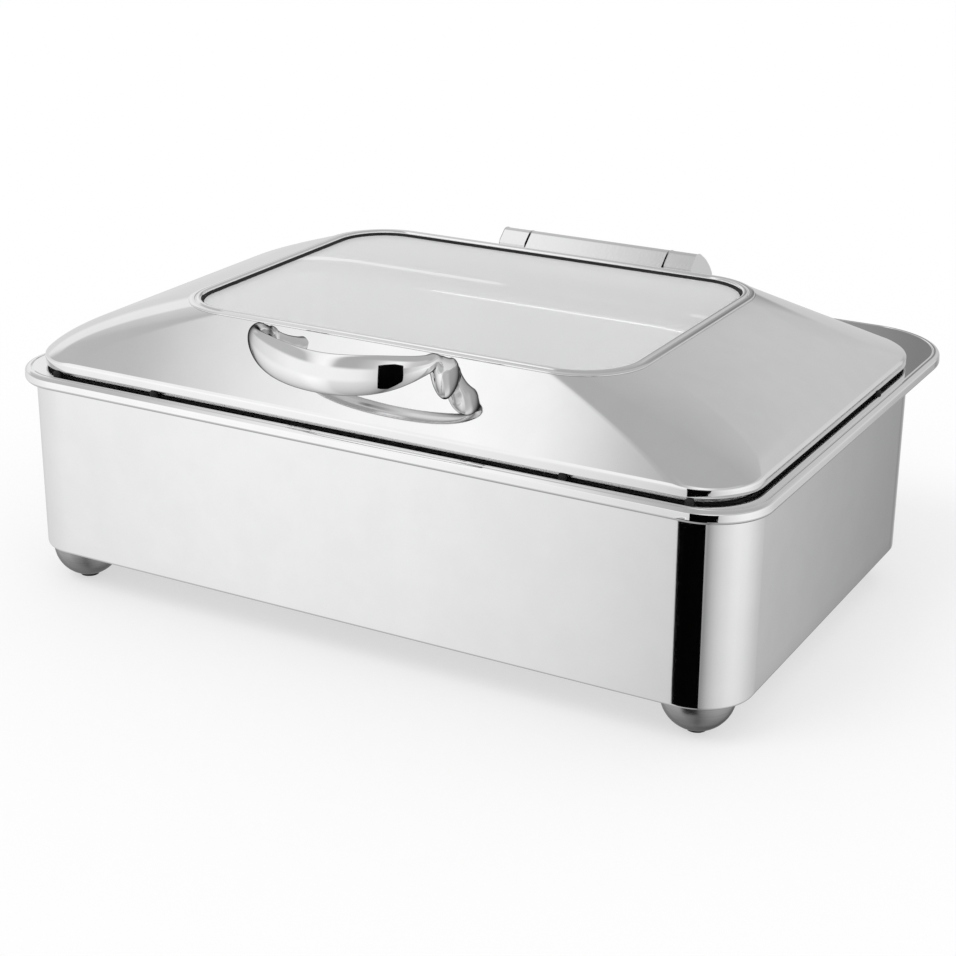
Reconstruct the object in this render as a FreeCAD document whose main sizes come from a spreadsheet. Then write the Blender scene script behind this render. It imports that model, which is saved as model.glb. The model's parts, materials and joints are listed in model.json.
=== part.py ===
import FreeCAD
import Part
import Sketcher
import math
import os

# Electric chafing dish, in millimetres. +X is to the right of someone who stands in front of it, +Y goes to
# the back where the hinge is, +Z is up, and z = 0 is the counter. While the pieces are built, y = 0 is the
# middle of the casing. At the end every piece moves by origin_shift, which puts the origin at the middle of
# the whole footprint, from the front of the handle to the back of the rim.

# Driving sizes. Each one is a cell of the spreadsheet.
SIZES = {
    # feet
    "pad_stand_out": 0.8, "pad_radius": 7.0, "pad_height": 3.2, "foot_radius": 25.6, "foot_land": 0.9,
    "foot_boss_radius": 12.0, "foot_inset_x": 34.3, "foot_inset_y": 29.5, "foot_bolt_radius": 3.0,
    "foot_bore_depth": 14.0, "foot_bolt_head_radius": 5.5, "foot_bolt_head_height": 4.0, "foot_bolt_gap": 1.0,
    # casing
    "body_width": 575.7, "body_depth": 355.2, "body_corner": 38.0, "wall": 1.0,
    "bottom_flange": 14.0, "top_flange": 16.0, "top_fold": 1.5, "top_fold_inset": 2.4,
    "base_sheet": 1.2, "base_gap": 0.5, "base_screw_radius": 1.9, "base_screw_head": 3.6,
    "base_screw_head_height": 1.6, "base_screw_inset": 8.4, "base_screw_end": 115.15, "base_screw_overrun": 3.0,
    "vent_length": 60.0, "vent_width": 5.0, "vent_pitch": 14.0, "vent_x": 144.0,
    # rim
    "rim_height": 140.8, "rim_drop": 7.8, "rim_overhang": 7.6, "rim_sheet": 1.2, "band_width": 7.6,
    "shelf_reach": 80.4, "rim_front_corner": 44.0, "rim_back_corner": 67.0,
    # pans
    "pan_width": 530.0, "pan_depth": 325.0, "pan_flange": 12.5, "pan_flange_corner": 26.0,
    "food_pan_height": 65.0, "food_pan_sheet": 0.8, "food_pan_corner": 38.0, "food_pan_draft": 9.5,
    "food_pan_low_corner": 32.3, "bath_low_corner": 36.8,
    "bath_clearance": 2.8, "bath_sheet": 1.0, "bath_height": 90.0, "bath_draft": 7.0, "bath_flange": 14.5,
    "bath_corner": 41.0, "bath_flange_corner": 34.0, "opening_clearance": 1.2,
    # heater
    "heater_width": 360.0, "heater_depth": 200.0, "heater_thick": 4.0, "heater_corner": 12.0,
    "element_radius": 4.0, "element_pitch": 36.0, "element_run": 300.0, "element_tail": 22.0,
    "clamp_width": 16.0, "clamp_thick": 1.5, "clamp_pitch": 99.0, "stud_radius": 2.5, "stud_hole_gap": 0.2,
    "stud_below": 5.5, "nut_radius": 4.4,
    "nut_height": 3.6, "stud_gap": 7.6, "insulation_thick": 20.0, "shield_sheet": 0.8, "shield_margin": 12.0,
    "spacer_radius": 6.0, "spacer_inset_x": 36.0, "spacer_inset_y": 30.0,
    "cutout_radius": 8.0, "cutout_height": 11.0, "cutout_gap": 4.0, "tab_reach": 4.5, "tab_half": 1.5,
    "tab_thick": 0.8, "tab_length": 7.0,
    # control panel and what it carries
    "panel_width": 200.0, "panel_height": 50.0, "panel_thick": 2.0, "panel_corner": 5.0, "panel_side": 142.85,
    "controls_height": 58.0, "panel_lap": 8.0, "panel_screw_radius": 1.5, "panel_screw_head": 2.9,
    "panel_screw_head_height": 1.4, "panel_screw_overrun": 2.0, "inlet_screw_overrun": 3.0,
    "knob_reach": 57.0, "knob_radius": 17.0, "knob_skirt": 20.0, "knob_skirt_thick": 3.0, "knob_length": 19.0,
    "knob_cap": 4.0, "knob_gap": 1.0, "ridge_half": 1.2, "ridge_lift": 0.8, "ridge_inset": 1.0,
    "shaft_radius": 3.0, "shaft_in_case": 8.0, "shaft_end_gap": 2.0, "shaft_hole_gap": 0.4,
    "running_gap": 0.05, "dial_radius": 23.5, "dial_thick": 0.5,
    "thermostat_side": 34.0, "thermostat_depth": 32.0,
    "lamp_reach": 16.0, "lamp_radius": 5.0, "lamp_length": 22.0, "lens_radius": 6.5, "lens_height": 3.0,
    "lens_bevel": 1.0, "lens_bevel_width": 1.5,
    "switch_reach": 15.0, "switch_width": 19.0, "switch_height": 27.0, "switch_depth": 20.0,
    "switch_bezel": 1.6, "switch_face": 1.5, "switch_room": 11.0, "rocker_gap": 0.6, "rocker_tilt": 9.0,
    "rocker_pin": 1.5, "rocker_ear": 0.9, "rocker_set_back": 1.5, "rocker_depth": 4.5, "rocker_lift": 3.6,
    "rocker_waist": 1.6,
    "inlet_reach": 64.0, "inlet_width": 28.0, "inlet_height": 20.5, "inlet_depth": 22.0, "inlet_flange": 50.0,
    "inlet_flange_thick": 2.5, "inlet_wall": 1.8, "inlet_socket_depth": 16.0, "inlet_screw_pitch": 40.0,
    "blade_half_width": 1.0, "blade_half_height": 2.0, "blade_set_back": 3.0, "blade_reach": 7.0,
    "blade_rise": 2.0,
    "bulb_radius": 3.0, "bulb_length": 90.0, "clip_sheet": 1.0, "clip_ear": 6.0, "clip_width": 8.0,
    "bulb_gap": 2.0, "clip_reach": 27.0, "capillary_radius": 0.8,
    "block_width": 60.0, "block_depth": 20.0, "block_height": 16.0, "block_reach": 30.0, "block_gap": 24.0,
    "slot_width": 8.0, "slot_pitch": 14.0, "slot_start": 5.0, "slot_edge": 4.0, "slot_depth": 5.0,
    "wire_radius": 1.4, "wire_gap": 2.0,
    # lid
    "lid_width": 568.1, "lid_front": 173.8, "lid_back": 203.0, "lid_gap": 2.8, "lip_height": 6.4,
    "lid_rise": 44.7, "lid_front_corner": 43.0, "lid_back_corner": 60.0, "lid_sheet": 1.0,
    "crown_width": 16.8, "crown_front": 6.0, "crown_back": 3.0, "hip_front": 4.0, "hip_back": 32.0,
    "window_width": 345.4, "window_front": 126.2, "window_back": 130.6, "window_corner": 40.0,
    "bezel_width": 9.25, "bezel_height": 2.1, "seal_lip": 1.6, "seal_thick": 0.8, "glass_thick": 4.0,
    "glass_lap": 4.8, "retainer_thick": 1.5, "retainer_inset": 3.0, "retainer_stud": 1.2,
    "retainer_head": 2.4, "retainer_head_height": 1.6, "retainer_gap": 0.4, "stud_far": 95.0, "stud_near": 44.2,
    "stud_end_gap": 0.2, "seal_gap": 0.2,
    "bumper_gap_side": 12.25, "bumper_gap_front": 4.5, "bumper_lift": 0.1,
    "bumper_radius": 3.0, "bumper_near": 163.0, "bumper_far": 251.0, "bumper_reach": 90.0,
    # handle
    "handle_front": 218.0, "handle_x": 4.0, "handle_half": 72.5, "handle_height": 27.0, "handle_thick": 7.0,
    "handle_middle": 224.0, "handle_rise": 9.0, "handle_lean": 4.6, "post_inset": 12.0, "post_share": 0.7,
    "post_width": 21.0, "post_height": 26.0, "neck_width": 8.5, "neck_height": 11.5, "neck_line": 182.0,
    "handle_bolt": 3.0, "bolt_hole_gap": 0.3, "bolt_bore": 13.0, "bolt_length": 12.0, "bolt_head": 5.2,
    "bolt_head_height": 4.0, "washer_radius": 8.0, "washer_thick": 1.2, "washer_gap": 0.4,
    # hinge
    "housing_width": 24.0, "arm_half": 62.3, "hinge_slit": 1.1, "pivot_reach": 222.0, "pivot_height": 27.2,
    "hinge_foot": 3.0, "hinge_front_gap": 3.0, "hinge_reach": 247.0, "pin_radius": 5.0, "bush_wall": 2.0,
    "barrel_radius": 21.0, "bush_length": 24.0, "damper_radius": 9.0, "damper_length": 18.0,
    "pin_cap": 4.0, "bore_cap": 3.0, "stiffener_sheet": 2.0, "stiffener_drop": 45.0, "stiffener_end": 8.0,
    "hinge_screw": 2.5, "hinge_screw_head": 4.5, "hinge_screw_head_height": 2.6, "hinge_screw_length": 8.0,
    "hinge_tap_depth": 10.0, "hinge_screw_edge": 8.0, "hinge_screw_end": 12.0,
    # the hinge's section: reaches from the pivot along y, and rises over it
    "front_rise": 3.6, "knee_reach": 19.5, "knee_rise": 11.9, "ridge_reach": 9.4, "ridge_rise": 20.6,
    "crest_reach": 3.2, "crest_rise": 20.0, "nape_reach": 9.5, "nape_rise": 12.6, "tail_reach": 19.0,
    "tail_rise": 4.2, "tail_drop": 3.5, "base_lean": 4.5, "base_lean_from": 8.0,
    # the hinge arm's section below its ridge
    "toe_reach": 30.0, "toe_drop": 10.0, "toe_top_reach": 18.3, "toe_top_drop": 3.4, "heel_reach": 22.4,
    "heel_drop": 0.5, "heel_low_reach": 19.0, "heel_low_drop": 10.0, "belly_reach": 16.0, "belly_drop": 14.0,
    "arm_lip_gap": 1.0,
    # what fixes the hinge arm to the lid
    "arm_screw_near": 15.0, "arm_screw_far": 45.0, "arm_screw_length": 9.0, "arm_tap_depth": 9.5,
    "arm_hole_gap": 0.2, "backing_half": 58.0, "backing_depth": 14.0, "backing_thick": 2.5, "backing_gap": 0.3,
    "backing_hole_gap": 0.1,
}

doc = FreeCAD.newDocument("chafing_dish")
sheet = doc.addObject("Spreadsheet::Sheet", "Sizes")
for row, (alias, number) in enumerate(SIZES.items(), start=1):
    sheet.set("A%d" % row, alias)
    sheet.set("B%d" % row, str(number))
    sheet.setAlias("B%d" % row, alias)
doc.recompute()


class Size:
    """A length: its value now, and the spreadsheet expression that gives it."""

    def __init__(self, value, text):
        self.value = value
        self.text = text

    def __add__(self, other):
        other = size(other)
        return Size(self.value + other.value, "(%s + %s)" % (self.text, other.text))

    def __radd__(self, other):
        return size(other) + self

    def __sub__(self, other):
        other = size(other)
        return Size(self.value - other.value, "(%s - %s)" % (self.text, other.text))

    def __rsub__(self, other):
        return size(other) - self

    def __mul__(self, other):
        other = size(other)
        return Size(self.value * other.value, "(%s * %s)" % (self.text, other.text))

    def __rmul__(self, other):
        return size(other) * self

    def __truediv__(self, other):
        other = size(other)
        return Size(self.value / other.value, "(%s / %s)" % (self.text, other.text))

    def __neg__(self):
        return Size(-self.value, "(-%s)" % self.text)


def size(number):
    """A Size from a plain number, or the Size itself."""
    if isinstance(number, Size):
        return number
    return Size(float(number), "%.10g" % number if number >= 0 else "(%.10g)" % number)


def cell(alias):
    return Size(float(sheet.get(alias)), "Sizes." + alias)


S = {alias: cell(alias) for alias in SIZES}

# Heights that several pieces share, from the counter up.
BODY_BOTTOM = S["pad_stand_out"] + S["foot_radius"] + S["foot_land"]
BASE_UNDER = BODY_BOTTOM + S["wall"]
BASE_TOP = BASE_UNDER + S["base_sheet"]
RIM_TOP = BODY_BOTTOM + S["rim_height"]
RIM_UNDER = RIM_TOP - S["rim_sheet"]
RIM_LOW = RIM_TOP - S["rim_drop"]
BATH_FLANGE_TOP = RIM_TOP + S["bath_sheet"]
BATH_BOTTOM = RIM_TOP - S["bath_height"]
HEATER_UNDER = BATH_BOTTOM - S["heater_thick"]
ELEMENT_MIDDLE = HEATER_UNDER - S["element_radius"]
CLAMP_UNDER = HEATER_UNDER - 2 * S["element_radius"] - S["clamp_thick"]
STUD_END = CLAMP_UNDER - S["stud_below"]
INSULATION_BOTTOM = STUD_END - S["insulation_thick"]
SHIELD_BOTTOM = INSULATION_BOTTOM - S["shield_sheet"]
LID_LOW = RIM_TOP + S["lid_gap"]
LIP_TOP = LID_LOW + S["lip_height"]
LID_TOP = LIP_TOP + S["lid_rise"]
BEZEL_TOP = LID_TOP + S["bezel_height"]
SEAL_UNDER = LID_TOP - S["lid_sheet"] - S["seal_thick"]
GLASS_UNDER = SEAL_UNDER - S["glass_thick"]
RETAINER_UNDER = GLASS_UNDER - S["retainer_thick"]
PIVOT_Z = RIM_TOP + S["pivot_height"]
HINGE_HALF = S["arm_half"] + S["hinge_slit"] + S["housing_width"]

# Half sizes of the casing and the places of its faces.
BODY_X = S["body_width"] / 2
BODY_Y = S["body_depth"] / 2
RIM_X = BODY_X + S["rim_overhang"]
RIM_FRONT = BODY_Y + S["rim_overhang"]
RIM_BACK = BODY_Y + S["shelf_reach"]
LID_X = S["lid_width"] / 2
WINDOW_X = S["window_width"] / 2
PANEL_FACE = BODY_Y + S["panel_thick"]
PANEL_X = BODY_X - S["panel_side"]
KNOB_X = PANEL_X - S["knob_reach"]
LAMP_X = PANEL_X - S["lamp_reach"]
SWITCH_X = PANEL_X + S["switch_reach"]
INLET_X = PANEL_X + S["inlet_reach"]
ORIGIN_SHIFT = (RIM_BACK - S["handle_front"]) / 2

subparts = []
places = {}


def bind(thing, path, amount):
    thing.setExpression(path, size(amount).text)


def place(thing, x=0, y=0, z=0, axis="z", turn=None):
    """Puts a thing at a point, its own z axis along the named axis, or turned by a rotation."""
    rotation = {"z": FreeCAD.Rotation(),
                "x": FreeCAD.Rotation(FreeCAD.Vector(0, 1, 0), 90),
                "y": FreeCAD.Rotation(FreeCAD.Vector(1, 0, 0), -90)}[axis]
    if turn is not None:
        rotation = turn
    point = FreeCAD.Vector(size(x).value, size(y).value, size(z).value)
    thing.Placement = FreeCAD.Placement(point, rotation)
    bind(thing, "Placement.Base.x", x)
    bind(thing, "Placement.Base.y", y)
    bind(thing, "Placement.Base.z", z)
    places[thing.Name] = size(y)
    return thing


def publish(label, thing):
    """Names a finished sub-part and moves it to the shared origin."""
    thing.Label = label
    bind(thing, "Placement.Base.y", places.get(thing.Name, size(0)) - ORIGIN_SHIFT)
    subparts.append(thing)
    return thing


def new(kind, name):
    return doc.addObject(kind, name)


def box(name, low, high):
    """A box between two corners."""
    thing = new("Part::Box", name)
    for side, near, far in zip(("Length", "Width", "Height"), low, high):
        bind(thing, side, size(far) - near)
    return place(thing, *low)


def cylinder(name, radius, length, at, axis="z", turn=None):
    thing = new("Part::Cylinder", name)
    bind(thing, "Radius", radius)
    bind(thing, "Height", length)
    return place(thing, *at, axis=axis, turn=turn)


def fuse(name, *things):
    thing = new("Part::MultiFuse", name)
    thing.Shapes = list(things)
    return thing


def group(name, *things):
    thing = new("Part::Compound", name)
    thing.Links = list(things)
    return thing


def cut(name, base, *tools):
    thing = new("Part::Cut", name)
    thing.Base = base
    thing.Tool = tools[0] if len(tools) == 1 else group(name + "_tools", *tools)
    return thing


def solid(name, shape):
    """A piece whose shape is worked out by a function below."""
    thing = new("Part::Feature", name)
    thing.Shape = shape
    return thing


def body(name):
    return new("PartDesign::Body", name)


def sketch_on(owner, name, plane, offset):
    """An empty sketch on one of a body's own planes, moved along the plane's normal."""
    drawing = owner.newObject("Sketcher::SketchObject", name)
    base = [feature for feature in owner.Origin.OriginFeatures if feature.Role == plane][0]
    drawing.AttachmentSupport = [(base, "")]
    drawing.MapMode = "FlatFace"
    bind(drawing, "AttachmentOffset.Base.z", offset)
    return drawing


def hold(drawing, kind, *numbers_and_size):
    """Adds a driving constraint whose value is bound to a size."""
    *elements, amount = numbers_and_size
    index = drawing.addConstraint(Sketcher.Constraint(kind, *elements, size(amount).value))
    bind(drawing, "Constraints[%d]" % index, amount)


def rounded(owner, name, height, half_width, front, back, front_corner, back_corner,
            plane="XY_Plane", middle=0):
    """A rectangle with round corners: from middle - half_width to middle + half_width across, and from
    -front to back along the sketch's second axis."""
    w, x0 = size(half_width).value, size(middle).value
    y0, y1 = -size(front).value, size(back).value
    rf, rb = size(front_corner).value, size(back_corner).value
    drawing = sketch_on(owner, name, plane, height)
    up = FreeCAD.Vector(0, 0, 1)
    corners = [(x0 + w - rf, y0 + rf, rf, -90), (x0 + w - rb, y1 - rb, rb, 0),
               (x0 - w + rb, y1 - rb, rb, 90), (x0 - w + rf, y0 + rf, rf, 180)]
    lines = [((x0 - w + rf, y0), (x0 + w - rf, y0)), ((x0 + w, y0 + rf), (x0 + w, y1 - rb)),
             ((x0 + w - rb, y1), (x0 - w + rb, y1)), ((x0 - w, y1 - rb), (x0 - w, y0 + rf))]
    for start, end in lines:
        drawing.addGeometry(Part.LineSegment(FreeCAD.Vector(*start, 0), FreeCAD.Vector(*end, 0)), False)
    for cx, cy, radius, start in corners:
        circle = Part.Circle(FreeCAD.Vector(cx, cy, 0), up, radius)
        arc = Part.ArcOfCircle(circle, math.radians(start), math.radians(start + 90))
        drawing.addGeometry(arc, False)
    for number in range(4):
        arc, after = 4 + number, (number + 1) % 4
        drawing.addConstraint(Sketcher.Constraint("Tangent", number, 2, arc, 1))
        drawing.addConstraint(Sketcher.Constraint("Tangent", arc, 2, after, 1))
    for number, kind in enumerate(("Horizontal", "Vertical", "Horizontal", "Vertical")):
        drawing.addConstraint(Sketcher.Constraint(kind, number))
    drawing.addConstraint(Sketcher.Constraint("Equal", 4, 7))
    drawing.addConstraint(Sketcher.Constraint("Equal", 5, 6))
    hold(drawing, "Radius", 4, front_corner)
    hold(drawing, "Radius", 5, back_corner)
    hold(drawing, "DistanceX", -1, 1, 1, 1, size(middle) + half_width)
    hold(drawing, "DistanceX", -1, 1, 3, 1, size(middle) - half_width)
    hold(drawing, "DistanceY", -1, 1, 0, 1, -size(front))
    hold(drawing, "DistanceY", -1, 1, 2, 1, back)
    return drawing


def circles(owner, name, plane, offset, radius, points):
    """One circle of the same radius at each point."""
    drawing = sketch_on(owner, name, plane, offset)
    up = FreeCAD.Vector(0, 0, 1)
    for number, (x, y) in enumerate(points):
        middle = FreeCAD.Vector(size(x).value, size(y).value, 0)
        drawing.addGeometry(Part.Circle(middle, up, size(radius).value), False)
        hold(drawing, "Radius", number, radius)
        hold(drawing, "DistanceX", -1, 1, number, 3, x)
        hold(drawing, "DistanceY", -1, 1, number, 3, y)
    return drawing


def pad(owner, drawing, length, reverse=False):
    feature = owner.newObject("PartDesign::Pad", drawing.Name + "_pad")
    feature.Profile = drawing
    feature.Reversed = reverse
    bind(feature, "Length", length)
    return feature


def pocket(owner, drawing, length, reverse=False):
    """Cuts a sketch out of a body, against the sketch's normal unless reversed."""
    feature = owner.newObject("PartDesign::Pocket", drawing.Name + "_pocket")
    feature.Profile = drawing
    feature.Reversed = reverse
    bind(feature, "Length", length)
    return feature


def loft(owner, drawings, add=True):
    kind = "PartDesign::AdditiveLoft" if add else "PartDesign::SubtractiveLoft"
    feature = owner.newObject(kind, drawings[0].Name + "_loft")
    feature.Profile = drawings[0]
    feature.Sections = drawings[1:]
    return feature


def screws(label, plane, seat, points, shank_radius, shank_length, head_radius, head_height, flip=False):
    """Screws of one kind. Each head stands on the seat plane, along its normal, and the shank goes the
    other way; flip swaps the two."""
    owner = body(label)
    heads = circles(owner, label + "_heads", plane, seat, head_radius, points)
    pad(owner, heads, head_height, reverse=flip)
    shanks = circles(owner, label + "_shanks", plane, seat, shank_radius, points)
    pad(owner, shanks, shank_length, reverse=not flip)
    return owner


def tube_path(points):
    """Straight runs joined by tangent arcs, each as large as its two runs allow."""
    corners = [FreeCAD.Vector(*point) for point in points]
    edges = []
    start = corners[0]
    for before, corner, after in zip(corners, corners[1:], corners[2:]):
        inward = (before - corner).normalize()
        outward = (after - corner).normalize()
        half = inward.getAngle(outward) / 2
        trim = 0.45 * min((before - corner).Length, (after - corner).Length)
        first, last = corner + inward * trim, corner + outward * trim
        radius = trim * math.tan(half)
        bisector = (inward + outward).normalize()
        middle = corner + bisector * (radius / math.sin(half) - radius)
        edges.append(Part.LineSegment(start, first).toShape())
        edges.append(Part.Arc(first, middle, last).toShape())
        start = last
    edges.append(Part.LineSegment(start, corners[-1]).toShape())
    return Part.Wire(edges)


def tube(points, radius):
    """A round tube along a path of runs and arcs."""
    path = tube_path(points)
    start, end = FreeCAD.Vector(*points[0]), FreeCAD.Vector(*points[1])
    ring = Part.Wire(Part.Circle(start, end - start, radius).toShape())
    return path.makePipeShell([ring], True, True)


def feet_points():
    """The places of the four feet, front left first and then round."""
    x = BODY_X - S["foot_inset_x"]
    y = BODY_Y - S["foot_inset_y"]
    return {"front_left": (-x, -y), "front_right": (x, -y), "back_right": (x, y), "back_left": (-x, y)}


def make_feet():
    """Half-ball feet, each with a boss that reaches the base plate, a bore for its bolt and a rubber pad."""
    for corner, (x, y) in feet_points().items():
        ball = new("Part::Sphere", "ball_" + corner)
        bind(ball, "Radius", S["foot_radius"])
        place(ball, x, y, BODY_BOTTOM - S["foot_land"])
        lower = cylinder("ball_limit_" + corner, S["foot_radius"] + 1, BODY_BOTTOM - S["pad_stand_out"],
                         (x, y, S["pad_stand_out"]))
        dome = new("Part::Common", "dome_" + corner)
        dome.Base, dome.Tool = ball, lower
        land = cylinder("land_" + corner, S["foot_radius"], S["foot_land"],
                        (x, y, BODY_BOTTOM - S["foot_land"]))
        boss = cylinder("boss_" + corner, S["foot_boss_radius"], BASE_UNDER - BODY_BOTTOM + S["foot_land"],
                        (x, y, BODY_BOTTOM - S["foot_land"]))
        bore = cylinder("bore_" + corner, S["foot_bolt_radius"] + S["running_gap"], S["foot_bore_depth"],
                        (x, y, BASE_UNDER - S["foot_bore_depth"]))
        seat = cylinder("pad_seat_" + corner, S["pad_radius"] + S["running_gap"], S["pad_height"], (x, y, 0))
        publish("foot_" + corner, cut("foot_" + corner, fuse("foot_form_" + corner, dome, land, boss),
                                      bore, seat))
        publish("foot_pad_" + corner, cylinder("foot_pad_" + corner, S["pad_radius"], S["pad_height"],
                                               (x, y, 0)))
    shank = S["foot_bore_depth"] + S["base_sheet"] - S["foot_bolt_gap"]
    bolts = screws("foot_bolts", "XY_Plane", BASE_TOP, list(feet_points().values()), S["foot_bolt_radius"],
                   shank, S["foot_bolt_head_radius"], S["foot_bolt_head_height"])
    publish("foot_bolts", bolts)


def base_screw_points():
    """Screws through the casing's bottom flange: three along each long side, one in each short side."""
    x = BODY_X - S["base_screw_inset"]
    y = BODY_Y - S["base_screw_inset"]
    end = BODY_X - S["base_screw_end"]
    along = [-end, size(0), end]
    return [(place_x, side) for place_x in along for side in (-y, y)] + [(-x, size(0)), (x, size(0))]


def make_casing():
    """The box: four walls with round corners, a flange turned in at the bottom and a folded one at the top."""
    top = RIM_UNDER - S["top_fold"]
    owner = body("outer_body")
    outline = rounded(owner, "walls", BODY_BOTTOM, BODY_X, BODY_Y, BODY_Y, S["body_corner"],
                      S["body_corner"])
    pad(owner, outline, top - BODY_BOTTOM)
    inset = S["top_fold_inset"]
    fold = rounded(owner, "fold", top, BODY_X - inset, BODY_Y - inset, BODY_Y - inset,
                   S["body_corner"] - inset, S["body_corner"] - inset)
    pad(owner, fold, S["top_fold"])
    wall = S["wall"]
    cavity = rounded(owner, "cavity", BASE_UNDER, BODY_X - wall, BODY_Y - wall, BODY_Y - wall,
                     S["body_corner"] - wall, S["body_corner"] - wall)
    pocket(owner, cavity, top - wall - BASE_UNDER, reverse=True)
    for name, lap, level, depth in (("lower", S["bottom_flange"], BASE_UNDER, wall),
                                    ("upper", S["top_flange"], RIM_UNDER, S["top_fold"] + wall)):
        mouth = rounded(owner, name + "_mouth", level, BODY_X - lap, BODY_Y - lap, BODY_Y - lap,
                        S["body_corner"] - lap, S["body_corner"] - lap)
        pocket(owner, mouth, depth)
    lap = S["panel_lap"]
    half_height = S["panel_height"] / 2 - lap
    opening = rounded(owner, "panel_opening", -BODY_Y, S["panel_width"] / 2 - lap,
                      half_height - S["controls_height"], S["controls_height"] + half_height,
                      S["panel_corner"], S["panel_corner"], "XZ_Plane", PANEL_X)
    pocket(owner, opening, wall * 3, reverse=True)
    holes = circles(owner, "screw_holes", "XY_Plane", BASE_UNDER, S["base_screw_radius"] + S["running_gap"],
                    base_screw_points())
    pocket(owner, holes, wall)
    holes = circles(owner, "panel_screw_places", "XZ_Plane", -BODY_Y,
                    S["panel_screw_radius"] + S["running_gap"], panel_screw_points())
    pocket(owner, holes, wall * 3, reverse=True)
    publish("outer_body", owner)


def vent_rows():
    """Places of the vent slots in the base plate, two rows of five."""
    return [(side * S["vent_x"], step * S["vent_pitch"]) for side in (-1, 1) for step in range(-2, 3)]


def make_base():
    """The plate that closes the casing from below, with vent slots under the heater."""
    inset = S["wall"] + S["base_gap"]
    owner = body("base_plate")
    outline = rounded(owner, "base_outline", BASE_UNDER, BODY_X - inset, BODY_Y - inset, BODY_Y - inset,
                      S["body_corner"] - inset, S["body_corner"] - inset)
    pad(owner, outline, S["base_sheet"])
    clear = S["running_gap"]
    drilled = circles(owner, "base_screw_holes", "XY_Plane", BASE_TOP, S["base_screw_radius"] + clear,
                      base_screw_points())
    pocket(owner, drilled, S["base_sheet"])
    bolts = circles(owner, "base_bolt_holes", "XY_Plane", BASE_TOP, S["foot_bolt_radius"] + S["bolt_hole_gap"],
                    list(feet_points().values()))
    pocket(owner, bolts, S["base_sheet"])
    for number, (x, y) in enumerate(vent_rows()):
        end = S["vent_width"] / 2 - 0.01
        slot = rounded(owner, "vent_%d" % number, BASE_TOP, S["vent_length"] / 2, S["vent_width"] / 2 - y,
                       y + S["vent_width"] / 2, end, end, middle=x)
        pocket(owner, slot, S["base_sheet"])
    publish("base_plate", owner)
    shank = S["wall"] + S["base_sheet"] + S["base_screw_overrun"]
    held = screws("base_screws", "XY_Plane", BODY_BOTTOM, base_screw_points(), S["base_screw_radius"], shank,
                  S["base_screw_head"], S["base_screw_head_height"], flip=True)
    publish("base_screws", held)


def rim_loop(owner, name, height, inset):
    return rounded(owner, name, height, RIM_X - inset, RIM_FRONT - inset, RIM_BACK - inset,
                   S["rim_front_corner"] - inset, S["rim_back_corner"] - inset)


def bath_top():
    """Half width, half depth and corner radius of the water pan's outside just under its flange."""
    grow = S["bath_clearance"] + S["bath_sheet"] - S["pan_flange"]
    return S["pan_width"] / 2 + grow, S["pan_depth"] / 2 + grow, S["bath_corner"]


def make_rim():
    """The frame on top of the casing: a round-shouldered band in front and at the sides, and a flat shelf
    behind for the hinge."""
    owner = body("rim_frame")
    sheet_gap = S["rim_sheet"]
    band = S["band_width"]
    steps = ((0, 0), (0.42, 0.07), (0.8, 0.38), (1, 1))
    outer = [rim_loop(owner, "band_%d" % n, RIM_LOW + S["rim_drop"] * up, band * inset)
             for n, (up, inset) in enumerate(steps)]
    loft(owner, outer)
    room = S["rim_drop"] - sheet_gap
    inner = [rim_loop(owner, "hollow_%d" % n, RIM_LOW + room * up, band * inset + sheet_gap)
             for n, (up, inset) in enumerate(steps)]
    loft(owner, inner, add=False)
    width, depth, corner = bath_top()
    gap = S["opening_clearance"]
    mouth = rounded(owner, "rim_mouth", RIM_TOP, width + gap, depth + gap, depth + gap, corner + gap,
                    corner + gap)
    pocket(owner, mouth, S["rim_drop"])
    holes = circles(owner, "hinge_screw_holes", "XY_Plane", RIM_TOP, S["hinge_screw"] + S["running_gap"],
                    hinge_screw_points())
    pocket(owner, holes, S["rim_drop"])
    publish("rim_frame", owner)


def bumper_points():
    """Pads on the rim under the lid's lip, outside the water pan's flange; a part of each shows."""
    width, depth, _ = bath_top()
    x = width + S["bath_flange"] + S["bumper_gap_side"]
    y = depth + S["bath_flange"] + S["bumper_gap_front"]
    near, far = S["bumper_near"], S["bumper_far"]
    return [(-far, -y), (-near, -y), (near, -y), (far, -y), (-x, S["bumper_reach"]), (x, S["bumper_reach"])]


def make_bumpers():
    owner = body("lid_bumpers")
    discs = circles(owner, "bumper_discs", "XY_Plane", RIM_TOP, S["bumper_radius"], bumper_points())
    pad(owner, discs, S["lid_gap"] - S["bumper_lift"])
    publish("lid_bumpers", owner)


def pan(label, flange_top, sheet_gap, top, bottom, height, flange, flange_corner):
    """A drawn pan: a flange, walls that lean in and a flat bottom. top and bottom are half width, half
    depth and corner radius outside."""
    owner = body(label)
    under = flange_top - height
    skin = flange_top - sheet_gap
    outside = [rounded(owner, label + "_low", under, bottom[0], bottom[1], bottom[1], bottom[2], bottom[2]),
               rounded(owner, label + "_high", skin, top[0], top[1], top[1], top[2], top[2])]
    loft(owner, outside)
    brim = rounded(owner, label + "_brim", skin, flange[0], flange[1], flange[1], flange_corner, flange_corner)
    pad(owner, brim, sheet_gap)
    inside = [rounded(owner, label + "_floor", under + sheet_gap, bottom[0] - sheet_gap,
                      bottom[1] - sheet_gap, bottom[1] - sheet_gap, bottom[2] - sheet_gap,
                      bottom[2] - sheet_gap),
              rounded(owner, label + "_mouth", flange_top, top[0] - sheet_gap, top[1] - sheet_gap,
                      top[1] - sheet_gap, top[2] - sheet_gap, top[2] - sheet_gap)]
    loft(owner, inside, add=False)
    return owner


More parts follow.
